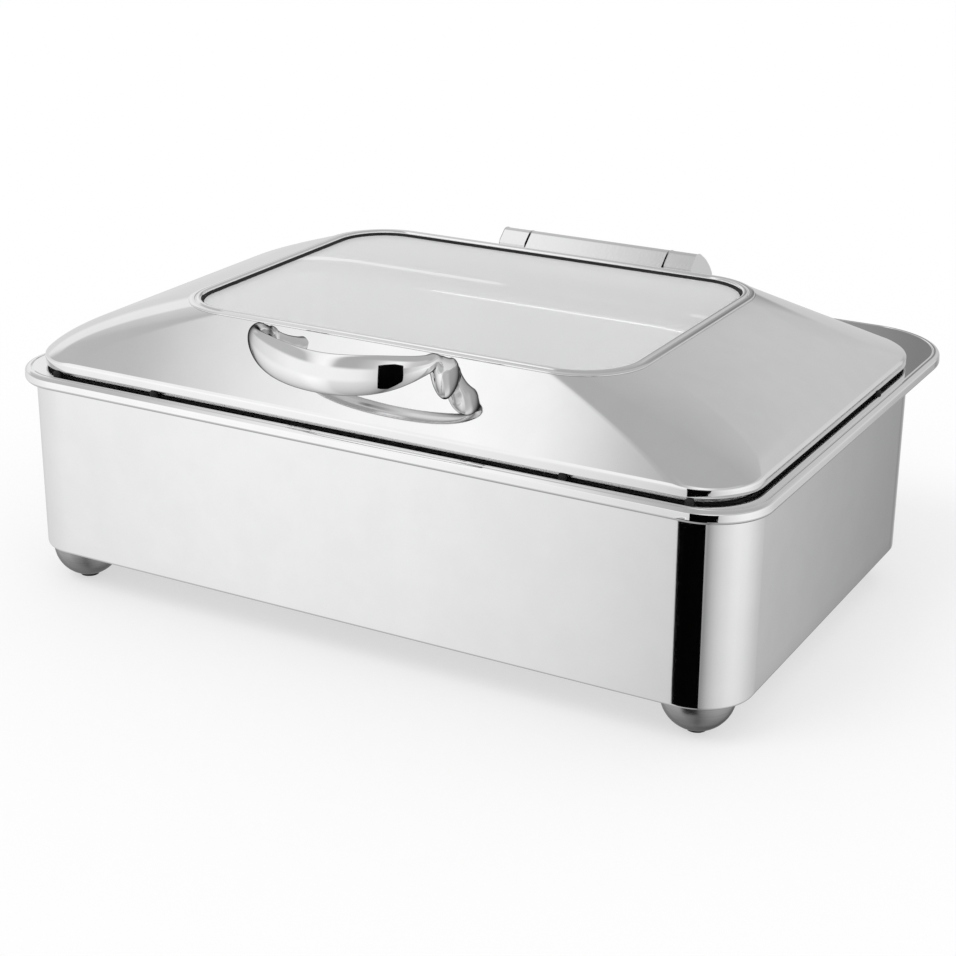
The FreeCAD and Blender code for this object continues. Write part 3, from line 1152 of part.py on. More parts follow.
def make_handle():
    """A bowed grip whose ends turn back to two flared posts on the lid's front slope."""
    right = handle_stations()
    left = [(FreeCAD.Vector(-point.x, point.y, point.z), FreeCAD.Vector(-up.x, up.y, up.z), tall, thick)
            for point, up, tall, thick in right]
    middle = FreeCAD.Vector(S["handle_x"].value, 0, 0)
    chain = [(middle + station[0], *station[1:]) for station in list(reversed(left)) + right[1:]]
    points = [station[0] for station in chain]
    wires = []
    for number, (point, up, tall, thick) in enumerate(chain):
        before = points[max(number - 1, 0)]
        after = points[min(number + 1, len(points) - 1)]
        wires.append(ellipse_wire(point, (after - before).normalize(), up, tall, thick))
    form = solid("handle_form", Part.makeLoft(wires, True, False))
    bores, bolts, washers = [], [], []
    for number, x in enumerate(post_places()):
        point, normal = slope_place(HANDLE_BOLT_SHARE, x)
        radius = S["handle_bolt"].value
        loose = radius + S["running_gap"].value
        flat, tall = S["washer_thick"].value, S["bolt_head_height"].value
        inner = point - normal * (S["lid_sheet"].value * BACK_WALL + S["washer_gap"].value)
        seat = inner - normal * flat
        depth = S["bolt_bore"].value
        bores.append(rod("handle_bore_%d" % number, loose, point - normal, normal, depth + 1))
        length = S["bolt_length"].value + flat
        shank = rod("handle_shank_%d" % number, radius, seat, normal, length)
        head = rod("handle_head_%d" % number, S["bolt_head"].value, seat - normal * tall, normal, tall)
        bolts.append(fuse("handle_bolt_%d" % number, shank, head))
        ring = rod("washer_disc_%d" % number, S["washer_radius"].value, seat, normal, flat)
        hole = rod("washer_hole_%d" % number, loose, seat, normal, flat)
        washers.append(cut("handle_washer_%d" % number, ring, hole))
    publish("handle_grip", cut("handle_grip", form, lid_form("lid_outside_copy"), *bores))
    publish("handle_bolts", group("handle_bolts", *bolts))
    publish("handle_washers", group("handle_washers", *washers))


# The hinge.

def hinge_screw_points():
    """Screws that come up through the stiffener and the shelf into the hinge base."""
    front = S["lid_back"] + S["hinge_front_gap"]
    near, far = front + S["hinge_screw_edge"], S["hinge_reach"] - S["hinge_screw_edge"]
    x = HINGE_HALF - S["hinge_screw_end"]
    return [(side * x, y) for side in (-1, 1) for y in (near, far)] + [(size(0), far)]


def in_numbers(points):
    """Pairs of sizes as pairs of plain numbers."""
    return [(size(y).value, size(z).value) for y, z in points]


def gable(front_y, low_z):
    """The hinge's section above the shelf: a flat front slope, a narrow ridge and a back that falls in
    three flats, as points in y and z round the pivot."""
    y, z = S["pivot_reach"], PIVOT_Z
    back = S["hinge_reach"]
    return in_numbers([(front_y, low_z), (front_y, z + S["front_rise"]),
                       (y - S["knee_reach"], z + S["knee_rise"]), (y - S["ridge_reach"], z + S["ridge_rise"]),
                       (y - S["crest_reach"], z + S["crest_rise"]), (y + S["nape_reach"], z + S["nape_rise"]),
                       (y + S["tail_reach"], z + S["tail_rise"]), (back, z - S["tail_drop"]), (back, low_z)])


def prism(name, points, low_x, high_x):
    """A section in y and z, stretched along X."""
    corners = [FreeCAD.Vector(low_x, y, z) for y, z in points]
    face = Part.Face(Part.makePolygon(corners + corners[:1]))
    return solid(name, face.extrude(FreeCAD.Vector(high_x - low_x, 0, 0)))


def make_hinge():
    """The base with its two end housings on the shelf, and the block between them that carries the lid."""
    half, arm = HINGE_HALF.value, S["arm_half"].value
    front = S["lid_back"] + S["hinge_front_gap"]
    section = gable(front - S["base_lean"], RIM_TOP)
    section[0:1] = in_numbers([(front, RIM_TOP), (front, RIM_TOP + S["base_lean_from"])])
    form = prism("hinge_base_form", section, -half, half)
    inside = S["arm_half"] + S["hinge_slit"]
    room = box("hinge_room", (-inside, S["lid_back"] - S["base_lean"], RIM_TOP + S["hinge_foot"]),
               (inside, S["hinge_reach"] + 1, PIVOT_Z + 2 * S["ridge_rise"]))
    at = (S["pivot_reach"], PIVOT_Z)
    pin = S["pin_radius"]
    gap = S["running_gap"]
    bored = HINGE_HALF - S["bore_cap"]
    bore = cylinder("base_bore", pin + gap, 2 * bored, (-bored, *at), axis="x")
    reach = inside + S["damper_length"]
    rooms = cylinder("damper_rooms", S["damper_radius"] + gap, 2 * reach, (-reach, *at), axis="x")
    taps = [cylinder("hinge_tap_%d" % n, S["hinge_screw"] + gap, S["hinge_tap_depth"], (x, y, RIM_TOP))
            for n, (x, y) in enumerate(hinge_screw_points())]
    publish("hinge_base", cut("hinge_base", form, room, bore, rooms, *taps))
    pinned = HINGE_HALF - S["pin_cap"]
    publish("hinge_pin", cylinder("hinge_pin", pin, 2 * pinned, (-pinned, *at), axis="x"))
    dampers = []
    for number, start in enumerate((-reach, reach - S["damper_length"])):
        case = cylinder("damper_case_%d" % number, S["damper_radius"], S["damper_length"], (start, *at),
                        axis="x")
        hole = cylinder("damper_hole_%d" % number, pin + gap, S["damper_length"], (start, *at), axis="x")
        dampers.append(cut("damper_%d" % number, case, hole))
    publish("hinge_dampers", group("hinge_dampers", *dampers))

    y, z, lip = S["pivot_reach"], PIVOT_Z, S["lid_back"]
    upper = gable(y, z)[3:7]
    outline = in_numbers([(lip - S["toe_reach"], z - S["toe_drop"]),
                          (lip - S["toe_top_reach"], z - S["toe_top_drop"])]) + upper
    outline += in_numbers([(y + S["heel_reach"], z - S["heel_drop"]),
                           (y + S["heel_low_reach"], z - S["heel_low_drop"]),
                           (y - S["belly_reach"], z - S["belly_drop"]),
                           (lip - S["arm_lip_gap"], LIP_TOP + S["arm_lip_gap"])])
    cover = prism("arm_cover", outline, -arm, arm)
    barrel_form = cylinder("arm_barrel", S["barrel_radius"], 2 * S["arm_half"], (-S["arm_half"], *at), axis="x")
    round_it = 2 * S["barrel_radius"]
    below = box("barrel_limit", (-S["arm_half"], y - round_it, z - round_it), (S["arm_half"], y + round_it, z))
    barrel = new("Part::Common", "arm_lower")
    barrel.Base, barrel.Tool = barrel_form, below
    seat_radius = pin + S["bush_wall"]
    seat = cylinder("bush_seat", seat_radius, 2 * S["arm_half"], (-S["arm_half"], *at), axis="x")
    tapped = []
    for number, x in enumerate(ARM_SCREWS):
        point, normal = slope_place(ARM_SCREW_SHARE, x, "back")
        tapped.append(rod("arm_tap_%d" % number, (S["hinge_screw"] + gap).value, point - normal, normal,
                          S["arm_tap_depth"].value + 1))
    publish("hinge_arm", cut("hinge_arm", fuse("arm_form", cover, barrel), lid_form("lid_outside_second"),
                             seat, *tapped))
    bushes = []
    length = S["bush_length"]
    for number, start in enumerate((-S["arm_half"], S["arm_half"] - length)):
        outer = cylinder("bush_outer_%d" % number, seat_radius, length, (start, *at), axis="x")
        inner = cylinder("bush_inner_%d" % number, pin + gap, length, (start, *at), axis="x")
        bushes.append(cut("bush_%d" % number, outer, inner))
    publish("hinge_bushes", group("hinge_bushes", *bushes))

    thick, drop = S["stiffener_sheet"], S["stiffener_drop"]
    x = HINGE_HALF + S["stiffener_end"]
    flat = box("stiffener_flat", (-x, BODY_Y, RIM_UNDER - thick), (x, S["hinge_reach"], RIM_UNDER))
    web = box("stiffener_web", (-x, BODY_Y, RIM_UNDER - drop), (x, BODY_Y + thick, RIM_UNDER))
    holes = [cylinder("stiffener_hole_%d" % n, S["hinge_screw"] + gap, thick, (sx, sy, RIM_UNDER - thick))
             for n, (sx, sy) in enumerate(hinge_screw_points())]
    publish("hinge_stiffener", cut("hinge_stiffener", fuse("stiffener_form", flat, web), *holes))
    shank = S["rim_sheet"] + thick + S["hinge_screw_length"]
    head, tall = S["hinge_screw_head"], S["hinge_screw_head_height"]
    publish("hinge_screws", screws("hinge_screws", "XY_Plane", RIM_UNDER - thick, hinge_screw_points(),
                                   S["hinge_screw"], shank, head, tall, flip=True))

    point, normal = slope_place(ARM_SCREW_SHARE, 0, "back")
    inner = point - normal * (S["lid_sheet"].value * SIDE_WALL + S["backing_gap"].value)
    turn = FreeCAD.Rotation(FreeCAD.Vector(0, 0, 1), normal)
    half_bar, bar_y, bar_z = (S[name].value for name in ("backing_half", "backing_depth", "backing_thick"))
    corner = FreeCAD.Vector(-half_bar, -bar_y / 2, -bar_z)
    bar = solid("backing_bar", Part.makeBox(2 * half_bar, bar_y, bar_z, corner))
    bar.Placement = FreeCAD.Placement(inner, turn)
    drilled, arm_screws = [], []
    radius, reach = S["hinge_screw"].value, S["arm_screw_length"].value
    for number, x in enumerate(ARM_SCREWS):
        seat = inner + FreeCAD.Vector(x, 0, 0) - normal * bar_z
        clear = radius + S["backing_hole_gap"].value
        drilled.append(rod("backing_hole_%d" % number, clear, seat - normal, normal, bar_z + 2))
        shank = rod("arm_shank_%d" % number, radius, seat, normal, bar_z + reach)
        top = rod("arm_head_%d" % number, head.value, seat - normal * tall.value, normal, tall.value)
        arm_screws.append(fuse("arm_screw_%d" % number, shank, top))
    publish("hinge_backing", cut("hinge_backing", bar, *drilled))
    publish("hinge_arm_screws", group("hinge_arm_screws", *arm_screws))


make_feet()
make_casing()
make_base()
make_rim()
make_bumpers()
make_pans()
make_heater()
make_panel()
make_thermostat()
make_switch()
make_lamp()
make_inlet()
make_wiring()
make_lid()
make_window()
make_handle()
make_hinge()
doc.recompute()

faults = [thing.Label for thing in doc.Objects if "Invalid" in thing.State or "Error" in thing.State]
for thing in subparts:
    if thing.Shape.isNull() or not thing.Shape.isValid() or not thing.Shape.Solids:
        faults.append(thing.Label)
if faults:
    raise SystemExit("these did not build: " + ", ".join(faults))

os.makedirs("parts", exist_ok=True)
for thing in subparts:
    thing.Shape.exportStep("parts/%s.step" % thing.Label)
print(len(subparts), "sub-parts")
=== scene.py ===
"""Looks of an electric chafing dish: polished sheet, castings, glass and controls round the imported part.

Sizes in the shapes are millimetres in the part's own frame: +X is right, +Y is back, +Z is up, and z = 0 is
the counter. The casing's middle is at y = CASING_Y.
"""

import json
import math

import bmesh
import bpy
import numpy as np
from mathutils import Matrix, Vector

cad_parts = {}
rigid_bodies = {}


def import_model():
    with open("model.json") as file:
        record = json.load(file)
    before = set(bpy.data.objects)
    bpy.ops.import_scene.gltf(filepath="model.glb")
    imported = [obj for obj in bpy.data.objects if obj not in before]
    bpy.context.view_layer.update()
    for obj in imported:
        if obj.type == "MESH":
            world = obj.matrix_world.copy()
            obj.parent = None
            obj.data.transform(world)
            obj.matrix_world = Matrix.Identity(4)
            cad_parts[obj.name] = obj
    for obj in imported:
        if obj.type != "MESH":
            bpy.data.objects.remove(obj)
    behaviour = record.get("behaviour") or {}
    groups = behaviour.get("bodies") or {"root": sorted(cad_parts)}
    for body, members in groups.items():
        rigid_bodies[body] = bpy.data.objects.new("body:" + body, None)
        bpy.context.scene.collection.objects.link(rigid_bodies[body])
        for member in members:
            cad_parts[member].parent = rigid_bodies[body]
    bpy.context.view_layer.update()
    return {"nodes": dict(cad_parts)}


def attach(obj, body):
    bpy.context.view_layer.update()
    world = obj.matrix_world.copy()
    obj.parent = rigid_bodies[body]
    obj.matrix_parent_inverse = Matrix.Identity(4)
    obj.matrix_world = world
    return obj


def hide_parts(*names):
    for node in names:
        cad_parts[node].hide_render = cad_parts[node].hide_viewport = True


for left_over in list(bpy.data.objects):
    bpy.data.objects.remove(left_over)
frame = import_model()

MM = 0.001
CASING_Y = -20.0
ARC, RUN = 22, 14


# Shapes.

def rounded_loops(levels):
    """Closed loops, one for each level, which is (half width, reach to the front, reach to the back, front
    corner, back corner, height). A corner is centre + radius * (cos a, sin a) over a quarter turn, in ARC
    steps. A side between two corners is cut at (1 - cos(pi t)) / 2 of its length, so it is finer near them,
    in RUN steps."""
    half, front, back, near, far, z = (column[:, None] for column in np.asarray(levels, float).T)
    turn = np.linspace(0, math.pi / 2, ARC + 1)
    share = (1 - np.cos(math.pi * np.arange(1, RUN) / RUN)) / 2
    ends = []
    for x, y, radius, start in ((half - near, near - front, near, -90), (half - far, back - far, far, 0),
                                (far - half, back - far, far, 90), (near - half, near - front, near, 180)):
        angle = math.radians(start) + turn
        ends.append(np.stack([x + radius * np.cos(angle), y + radius * np.sin(angle)]))
    parts = []
    for here, after in zip(ends, ends[1:] + ends[:1]):
        first, last = here[..., -1:], after[..., :1]
        parts += [here, first + (last - first) * share]
    x, y = np.concatenate(parts, axis=-1)
    return np.stack([x, y + CASING_Y, z + 0 * x], axis=-1)


def eased(rows, reaches, closed=False, steps=4):
    """A profile with rounded corners: a corner P becomes (1-t)^2 A + 2t(1-t) P + t^2 B, where A and B lie
    its reach before and after it. Distances are taken in the first and the last number of a row."""
    rows = np.asarray(rows, float)
    t = np.linspace(0, 1, steps + 1)[:, None]
    done = []
    for number, (here, reach) in enumerate(zip(rows, reaches)):
        before, after = rows[number - 1], rows[(number + 1) % len(rows)]
        if not reach or (not closed and number in (0, len(rows) - 1)):
            done.append(here[None])
            continue
        back, on = ((end - here) * reach / math.hypot(end[0] - here[0], end[-1] - here[-1])
                    for end in (before, after))
        done.append(here + (1 - t) ** 2 * back + t ** 2 * on)
    return np.concatenate(done)


def grown(base, out, z):
    """A level that lies out beyond a base outline, at height z."""
    return [size + out for size in base] + [z]


def arc(low, high, count, wide, tall, across=0.0, up=0.0):
    """Points (across + wide cos a, up + tall sin a), for angles a from low to high degrees."""
    angle = np.radians(np.linspace(low, high, count))
    return np.column_stack([across + wide * np.cos(angle), up + tall * np.sin(angle)]).tolist()


def unit(ways):
    return ways / np.linalg.norm(ways, axis=-1, keepdims=True)


def skin(grid, around=False, caps=()):
    """Quads between the neighbours of a grid of points whose last column meets its first. around joins the
    last row to the first too, and a cap closes row 0 or -1 with a fan from the row's middle."""
    rows, columns = grid.shape[:2]
    i = np.arange(rows if around else rows - 1)[:, None]
    j = np.arange(columns)[None]
    up, on = (i + 1) % rows * columns, (j + 1) % columns
    quads = np.stack(np.broadcast_arrays(i * columns + j, i * columns + on, up + on, up + j), axis=-1)
    points, faces = [grid.reshape(-1, 3)], quads.reshape(-1, 4).tolist()
    for number, row in enumerate(caps):
        edge = np.arange(columns) + (0 if row == 0 else (rows - 1) * columns)
        middle = np.full(columns, rows * columns + number)
        points.append(grid[row].mean(axis=0, keepdims=True))
        fan = [edge, np.roll(edge, -1), middle] if row else [np.roll(edge, -1), edge, middle]
        faces += np.stack(fan, axis=-1).tolist()
    return np.concatenate(points), faces


def hoop(base, section, reaches, steps=2):
    """A ring along an outline: a closed section of (distance outside it, height)."""
    rows = eased([grown(base, out, z) for out, z in section], reaches, closed=True, steps=steps)
    return skin(rounded_loops(rows), around=True)


def turned(profile, at, axis=(0, 0, 1), parts=28, flute=None, hollow=False):
    """A profile of (radius, height) carried round an axis: at + radius * (cos a U + sin a V) + height W.
    flute gives, for the grid's rows and angles, a share by which the radius grows. A hollow one is a ring,
    and its profile is closed."""
    w = np.array(axis, float)
    u = np.array((1.0, 0, 0) if abs(w[0]) < 0.9 else (0, 1.0, 0))
    u = u - w * (u @ w)
    u /= np.linalg.norm(u)
    v = np.cross(w, u)
    angle = np.linspace(0, 2 * math.pi, parts, endpoint=False)
    radius, height = (column[:, None] for column in np.asarray(profile, float).T)
    if flute is not None:
        radius = radius * (1 + flute(np.arange(len(profile))[:, None], angle))
    radius = radius + 0 * angle
    grid = (np.array(at, float) + (radius * np.cos(angle))[..., None] * u
            + (radius * np.sin(angle))[..., None] * v + (height + 0 * angle)[..., None] * w)
    return skin(grid, around=True) if hollow else skin(grid, caps=(0, -1))


def slab(middle, along, across, half_long, half_wide, thick):
    """A flat bar: middle +- half_long along +- half_wide across, raised by thick along their cross product."""
    along, across = np.array(along, float), np.array(across, float)
    lift = np.cross(along, across) * thick
    signs = ((-1, -1), (1, -1), (1, 1), (-1, 1))
    corners = [np.array(middle) + a * half_long * along + b * half_wide * across for a, b in signs]
    faces = [[3, 2, 1, 0], [4, 5, 6, 7], [0, 1, 5, 4], [1, 2, 6, 5], [2, 3, 7, 6], [3, 0, 4, 7]]
    return np.array(corners + [corner + lift for corner in corners]), faces


def button_head(at, axis, radius, height):
    """A screw's button head: a dome height * (1 - 0.3 (r / radius)^2.5) with a hexagon socket, whose wall is
    its flats' distance / cos of the angle from the nearest flat."""
    dome = [(radius * share, height * (1 - 0.3 * share ** 2.5)) for share in np.linspace(1.0, 0.5, 6)]
    flat = 0.42 * radius
    profile = [(0.3 * radius, 0.0), (radius, 0.0), (radius, 0.3 * height)] + dome
    wall = len(profile)
    profile += [(flat, 0.99 * height), (flat * 0.96, 0.93 * height), (flat * 0.96, 0.45 * height),
                (0.05, 0.42 * height)]

    def socket(row, angle):
        hexagon = 1 / np.cos((angle + math.pi / 6) % (math.pi / 3) - math.pi / 6) - 1
        return np.where((row >= wall) & (row < wall + 3), hexagon, 0.0)

    return turned(profile, at, axis, 36, socket)


def linked(name, data):
    made = bpy.data.objects.new(name, data)
    bpy.context.scene.collection.objects.link(made)
    return made


def built(name, patch):
    """An object whose mesh is a patch, (points in millimetres, faces)."""
    mesh = bpy.data.meshes.new(name)
    mesh.from_pydata((patch[0] * MM).tolist(), [], patch[1])
    return linked(name, mesh)


def words(text, height, at):
    """Printed figures on a face that looks to the back: upright, read from behind, a hair thick."""
    font = bpy.data.curves.new("print", "FONT")
    font.body, font.size = text, height * 1.38
    font.align_x, font.align_y = "CENTER", "CENTER"
    font.extrude, font.resolution_u = 0.02, 4
    made = linked("print", font)
    mesh = bpy.data.meshes.new_from_object(made.evaluated_get(bpy.context.evaluated_depsgraph_get()))
    points = np.empty(3 * len(mesh.vertices), np.float32)
    mesh.vertices.foreach_get("co", points)
    points = points.reshape(-1, 3).astype(float)
    faces = [list(face.vertices) for face in mesh.polygons]
    bpy.data.objects.remove(made)
    bpy.data.meshes.remove(mesh)
    return np.array(at) + np.column_stack([-points[:, 0], points[:, 2], points[:, 1]]), faces


def prism(section, low, high):
    """A closed section of (y, z) points, counter-clockwise seen from +X, stretched from x = low to high."""
    section = np.asarray(section, float)
    count = len(section)
    ends = [np.column_stack([np.full(count, x), section]) for x in (low, high)]
    here = np.arange(count)
    after = np.roll(here, -1)
    sides = np.stack([here, after, after + count, here + count], axis=-1)[:, ::-1].tolist()
    return np.concatenate(ends), sides + [here[::-1].tolist(), (here + count).tolist()]


def together(*patches):
    """Patches as one: points one after another, and face numbers moved up."""
    points, faces, start = [], [], 0
    for spots, loops in patches:
        points.append(spots)
        faces += [[start + number for number in loop] for loop in loops]
        start += len(spots)
    return np.concatenate(points), faces


def shaded(piece, finish, sharp=None, bevel=None, even=True, segments=3):
    """Smooth shading, sharp from an angle, with a rounded edge and evened normals where they are asked for."""
    mesh = piece.data
    mesh.materials.clear()
    mesh.materials.append(finish)
    mesh.shade_smooth()
    if sharp:
        mesh.set_sharp_from_angle(angle=math.radians(sharp))
    if bevel:
        edge = piece.modifiers.new("rounded edge", "BEVEL")
        edge.width = bevel * MM
        edge.segments = segments
        edge.limit_method = "ANGLE"
        edge.angle_limit = math.radians(28)
        edge.harden_normals = True
    elif even:
        piece.modifiers.new("even shading", "WEIGHTED_NORMAL").keep_sharp = True


def piece(name, body, finish, patch, stands_for=None, slot=None, **looks):
    """One piece of the dish: a mesh made of a patch, on a body, in place of its node."""
    made = built(name, patch)
    made.data.validate()
    shaded(made, finish, **looks)
    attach(made, body)
    if stands_for:
        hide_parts(stands_for)
    return made


def lined(made, finish, first):
    """Gives the faces from number first on, which are a sheet's inside, their own finish."""
    made.data.materials.append(finish)
    inside = np.arange(len(made.data.polygons)) >= first
    made.data.polygons.foreach_set("material_index", inside.astype(np.int32))


def softened(node, body, finish, bevel=0.4, sharp=28):
    """A node's own shape with rounded edges: a copy of its mesh, merged and with its flats made whole."""
    work = bmesh.new()
    work.from_mesh(frame["nodes"][node].data)
    bmesh.ops.remove_doubles(work, verts=work.verts, dist=2e-6)
    bmesh.ops.dissolve_limit(work, angle_limit=math.radians(0.6), verts=work.verts, edges=work.edges)
    mesh = bpy.data.meshes.new(node + "_shape")
    work.to_mesh(mesh)
    work.free()
    for extra in ("custom_normal", "sharp_edge", "sharp_face"):
        if extra in mesh.attributes:
            mesh.attributes.remove(mesh.attributes[extra])
    made = linked(mesh.name, mesh)
    shaded(made, finish, sharp=sharp, bevel=bevel, segments=2)
    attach(made, body)
    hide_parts(node)


# Finishes.

class Flow:
    """A number on its way through the nodes of a finish. Sums and products of it add Math nodes."""

    def __init__(self, recipe, socket):
        self.recipe, self.socket = recipe, socket

    def __add__(self, other):
        return self.recipe.maths("ADD", self, other)

    def __sub__(self, other):
        return self.recipe.maths("SUBTRACT", self, other)

    def __rsub__(self, other):
        return self.recipe.maths("SUBTRACT", other, self)

    def __mul__(self, other):
        return self.recipe.maths("MULTIPLY", self, other)

    def __truediv__(self, other):
        return self.recipe.maths("DIVIDE", self, other)

    __radd__ = __add__
    __rmul__ = __mul__


class Recipe:
    """The nodes of one finish, or of the light round the dish."""

    def __init__(self, owner):
        owner.use_nodes = True
        self.owner, self.tree = owner, owner.node_tree
        self.tree.nodes.clear()

    def node(self, kind, settings=None, sockets=None, output=0):
        """Adds a node: its settings first, then the values or links of its sockets."""
        made = self.tree.nodes.new("ShaderNode" + kind)
        for name, value in (settings or {}).items():
            if name == "stops":
                stops = made.color_ramp.elements
                while len(stops) < len(value):
                    stops.new(1.0)
                for stop, (place, tone) in zip(stops, value):
                    stop.position, stop.color = place, grey(tone)
            else:
                setattr(made, name, value)
        for name, value in (sockets or {}).items():
            if isinstance(value, Flow):
                self.tree.links.new(value.socket, made.inputs[name])
            else:
                made.inputs[name].default_value = value
        return Flow(self, made.outputs[output])

    def maths(self, operation, *values):
        return self.node("Math", {"operation": operation}, dict(enumerate(values)))

    def place(self, scale=(1, 1, 1)):
        """Object coordinates in metres, stretched."""
        return self.node("Mapping", None, {"Vector": self.node("TexCoord", output="Object"), "Scale": scale})

    def noise(self, scale, where=None, detail=3.0, rough=0.55):
        return self.node("TexNoise", None, {"Vector": where or self.place(), "Scale": scale, "Detail": detail,
                                            "Roughness": rough})

    def eased(self, value, low, high, start=0.0, end=1.0):
        """Rises smoothly from start to end as value goes from low to high."""
        return self.node("MapRange", {"interpolation_type": "SMOOTHSTEP"},
                         {"Value": value, "From Min": low, "From Max": high, "To Min": start, "To Max": end})

    def ramp(self, value, stops):
        return self.node("ValToRGB", {"stops": stops}, {"Fac": value})

    def mixed(self, share, first, second):
        """A colour between two colours."""
        return self.node("Mix", {"data_type": "RGBA"}, {0: share, 6: first, 7: second}, output=2)

    def ray(self, kind):
        """1 for rays of a kind, otherwise 0."""
        return self.node("LightPath", output="Is " + kind + " Ray")

    def slant(self):
        """How far the surface turns away from the ray that meets it: 1 - cos of the angle."""
        return self.node("LayerWeight", None, {"Blend": 0.5}, output="Facing")

    def edged(self, base, edge):
        """A colour painted darker by edge as the slant goes from 0.5 to 0.9: a painted dark reflection along a shape's
        outline, where it turns away from the eye.
        """
        return self.mixed(self.eased(self.slant(), 0.5, 0.9, 0.0, edge), base, grey(0.02)) if edge else base

    def bump(self, height, distance, strength, normal=None):
        sockets = {"Height": height, "Distance": distance, "Strength": strength}
        if normal is not None:
            sockets["Normal"] = normal
        return self.node("Bump", None, sockets)

    def layered(self, share, first, second):
        """One shader over another."""
        return self.node("MixShader", None, {0: share, 1: first, 2: second})

    def finish(self, surface, target="OutputMaterial"):
        end = self.tree.nodes.new("ShaderNode" + target)
        self.tree.links.new(surface.socket, end.inputs["Surface"])
        return self.owner

    def surface(self, sockets):
        """Ends a finish that is one principled shader."""
        return self.finish(self.node("BsdfPrincipled", None, sockets))


def material(name):
    return Recipe(bpy.data.materials.new(name))


def colour(*parts):
    return (*parts, 1.0)


def grey(tone, blue=None):
    """A grey, with a blue part of its own where it isn't quite even."""
    return (tone, tone, tone if blue is None else blue, 1.0)


def polished_steel(name, edge=0.0):
    """Mirror-polished sheet: a clear reflection that swims a little over the sheet's slow waves, with the
    faintest of buffing haze. edge is how far a slender shape's base colour is painted darker where it turns away from
    the eye, a painted dark reflection along its outline; it also lowers the specular tint."""
    r = material(name)
    tint = 0.88
    haze = r.noise(38.0, detail=4.0)
    waves = r.noise(5.0, detail=1.0)
    lines = r.noise(1.0, r.place((60, 60, 1800)), 2.0)
    base = r.mixed(r.eased(haze, 0.3, 0.7), grey(tint, tint * 1.004), grey(tint - 0.02, tint - 0.015))
    relief = r.bump(waves, 0.0006, 0.35, r.bump(lines, 0.00001, 0.15))
    return r.surface({"Base Color": r.edged(base, edge), "Metallic": 1.0, "Roughness": 0.035 + 0.03 * haze,
                      "Specular Tint": grey(1 - edge), "Normal": relief})


def brushed_steel(name, tint, rough, stretch=(4, 900, 900), metal=1.0, edge=0.0):
    """Satin sheet: fine scratches that all run one way, and a cloudier tone between them. Less than all
    metal stands for the light that a satin hollow throws to and fro. edge is the share of painted dark edge, as for
    polished steel."""
    r = material(name)
    strokes = r.noise(1.0, r.place(stretch), 4.0, 0.7)
    share = r.eased(0.7 * strokes + 0.3 * r.noise(14.0), 0.3, 0.7)
    base = r.mixed(share, grey(tint * 0.9, tint * 0.905), grey(tint * 1.06, tint * 1.07))
    return r.surface({"Base Color": r.edged(base, edge), "Metallic": metal,
                      "Roughness": rough - 0.04 + 0.09 * strokes, "Normal": r.bump(strokes, 0.00002, 0.5)})


def cast_metal(name, tint, rough, grain=420.0):
    """Polished casting: a bright skin with a fine orange-peel grain and slow clouds of haze."""
    r = material(name)
    clouds = r.noise(22.0)
    base = r.mixed(clouds, grey(tint * 0.95, tint * 0.955), grey(tint * 1.04, tint * 1.05))
    return r.surface({"Base Color": base, "Metallic": 1.0, "Roughness": rough + 0.08 * clouds,
                      "Normal": r.bump(r.noise(grain), 0.00003, 0.5)})


def moulded(name, tone, rough, grain=1600.0, depth=0.00004, coat=0.0):
    """Moulded plastic: a fine spark grain under a dull sheen, rubbed a little smoother in places."""
    r = material(name)
    spark = r.noise(grain, detail=2.0)
    rubbed = r.noise(30.0)
    light = tuple(min(1.0, part * 1.25 + 0.004) for part in tone)
    base = r.mixed(0.6 * spark + 0.4 * rubbed, colour(*tone), colour(*light))
    return r.surface({"Base Color": base, "Roughness": rough + 0.1 * rubbed - 0.05, "Coat Weight": coat,
                      "Normal": r.bump(spark, depth, 0.6)})


def soft_rubber(name, tone, rough=0.7):
    """Rubber or silicone: matt, with a dusty bloom and a fine moulded grain."""
    r = material(name)
    bloom = r.noise(60.0, detail=4.0)
    grain = r.noise(2200.0, detail=1.0)
    dusty = tuple(part * 0.9 + 0.008 for part in tone)
    base = r.mixed(r.eased(bloom, 0.35, 0.75), colour(*tone), colour(*dusty))
    return r.surface({"Base Color": base, "Roughness": rough + 0.12 * bloom,
                      "Normal": r.bump(grain, 0.00003, 0.5)})


def dull_metal(name, dark, light, rough, scale=90.0):
    """A metal that heat or handling has stained: two tones in clouds, rougher where it is darker."""
    r = material(name)
    stain = r.noise(scale, detail=5.0)
    fine = r.noise(scale * 14, detail=2.0)
    share = r.eased(stain, 0.35, 0.65)
    return r.surface({"Base Color": r.mixed(share, colour(*dark), colour(*light)), "Metallic": 1.0,
                      "Roughness": rough - 0.1 * share + 0.05 * fine, "Normal": r.bump(fine, 0.00003, 0.5)})


def fibrous_wool(name):
    """Mineral wool: pale tangled fibres, with painted shade that darkens the hollows between them, following the
    bump's depth.
    """
    r = material(name)
    strands = r.noise(1.0, r.place((260, 900, 900)), 6.0, 0.75)
    tufts = r.noise(120.0, detail=5.0)
    depth = 0.5 * strands + 0.5 * tufts
    # The darker tone follows the bump's hollows: painted shade.
    base = r.mixed(r.eased(depth, 0.3, 0.7), colour(0.42, 0.36, 0.24), colour(0.86, 0.81, 0.66))
    return r.surface({"Base Color": base, "Roughness": 0.95, "Normal": r.bump(depth, 0.0006, 0.8)})


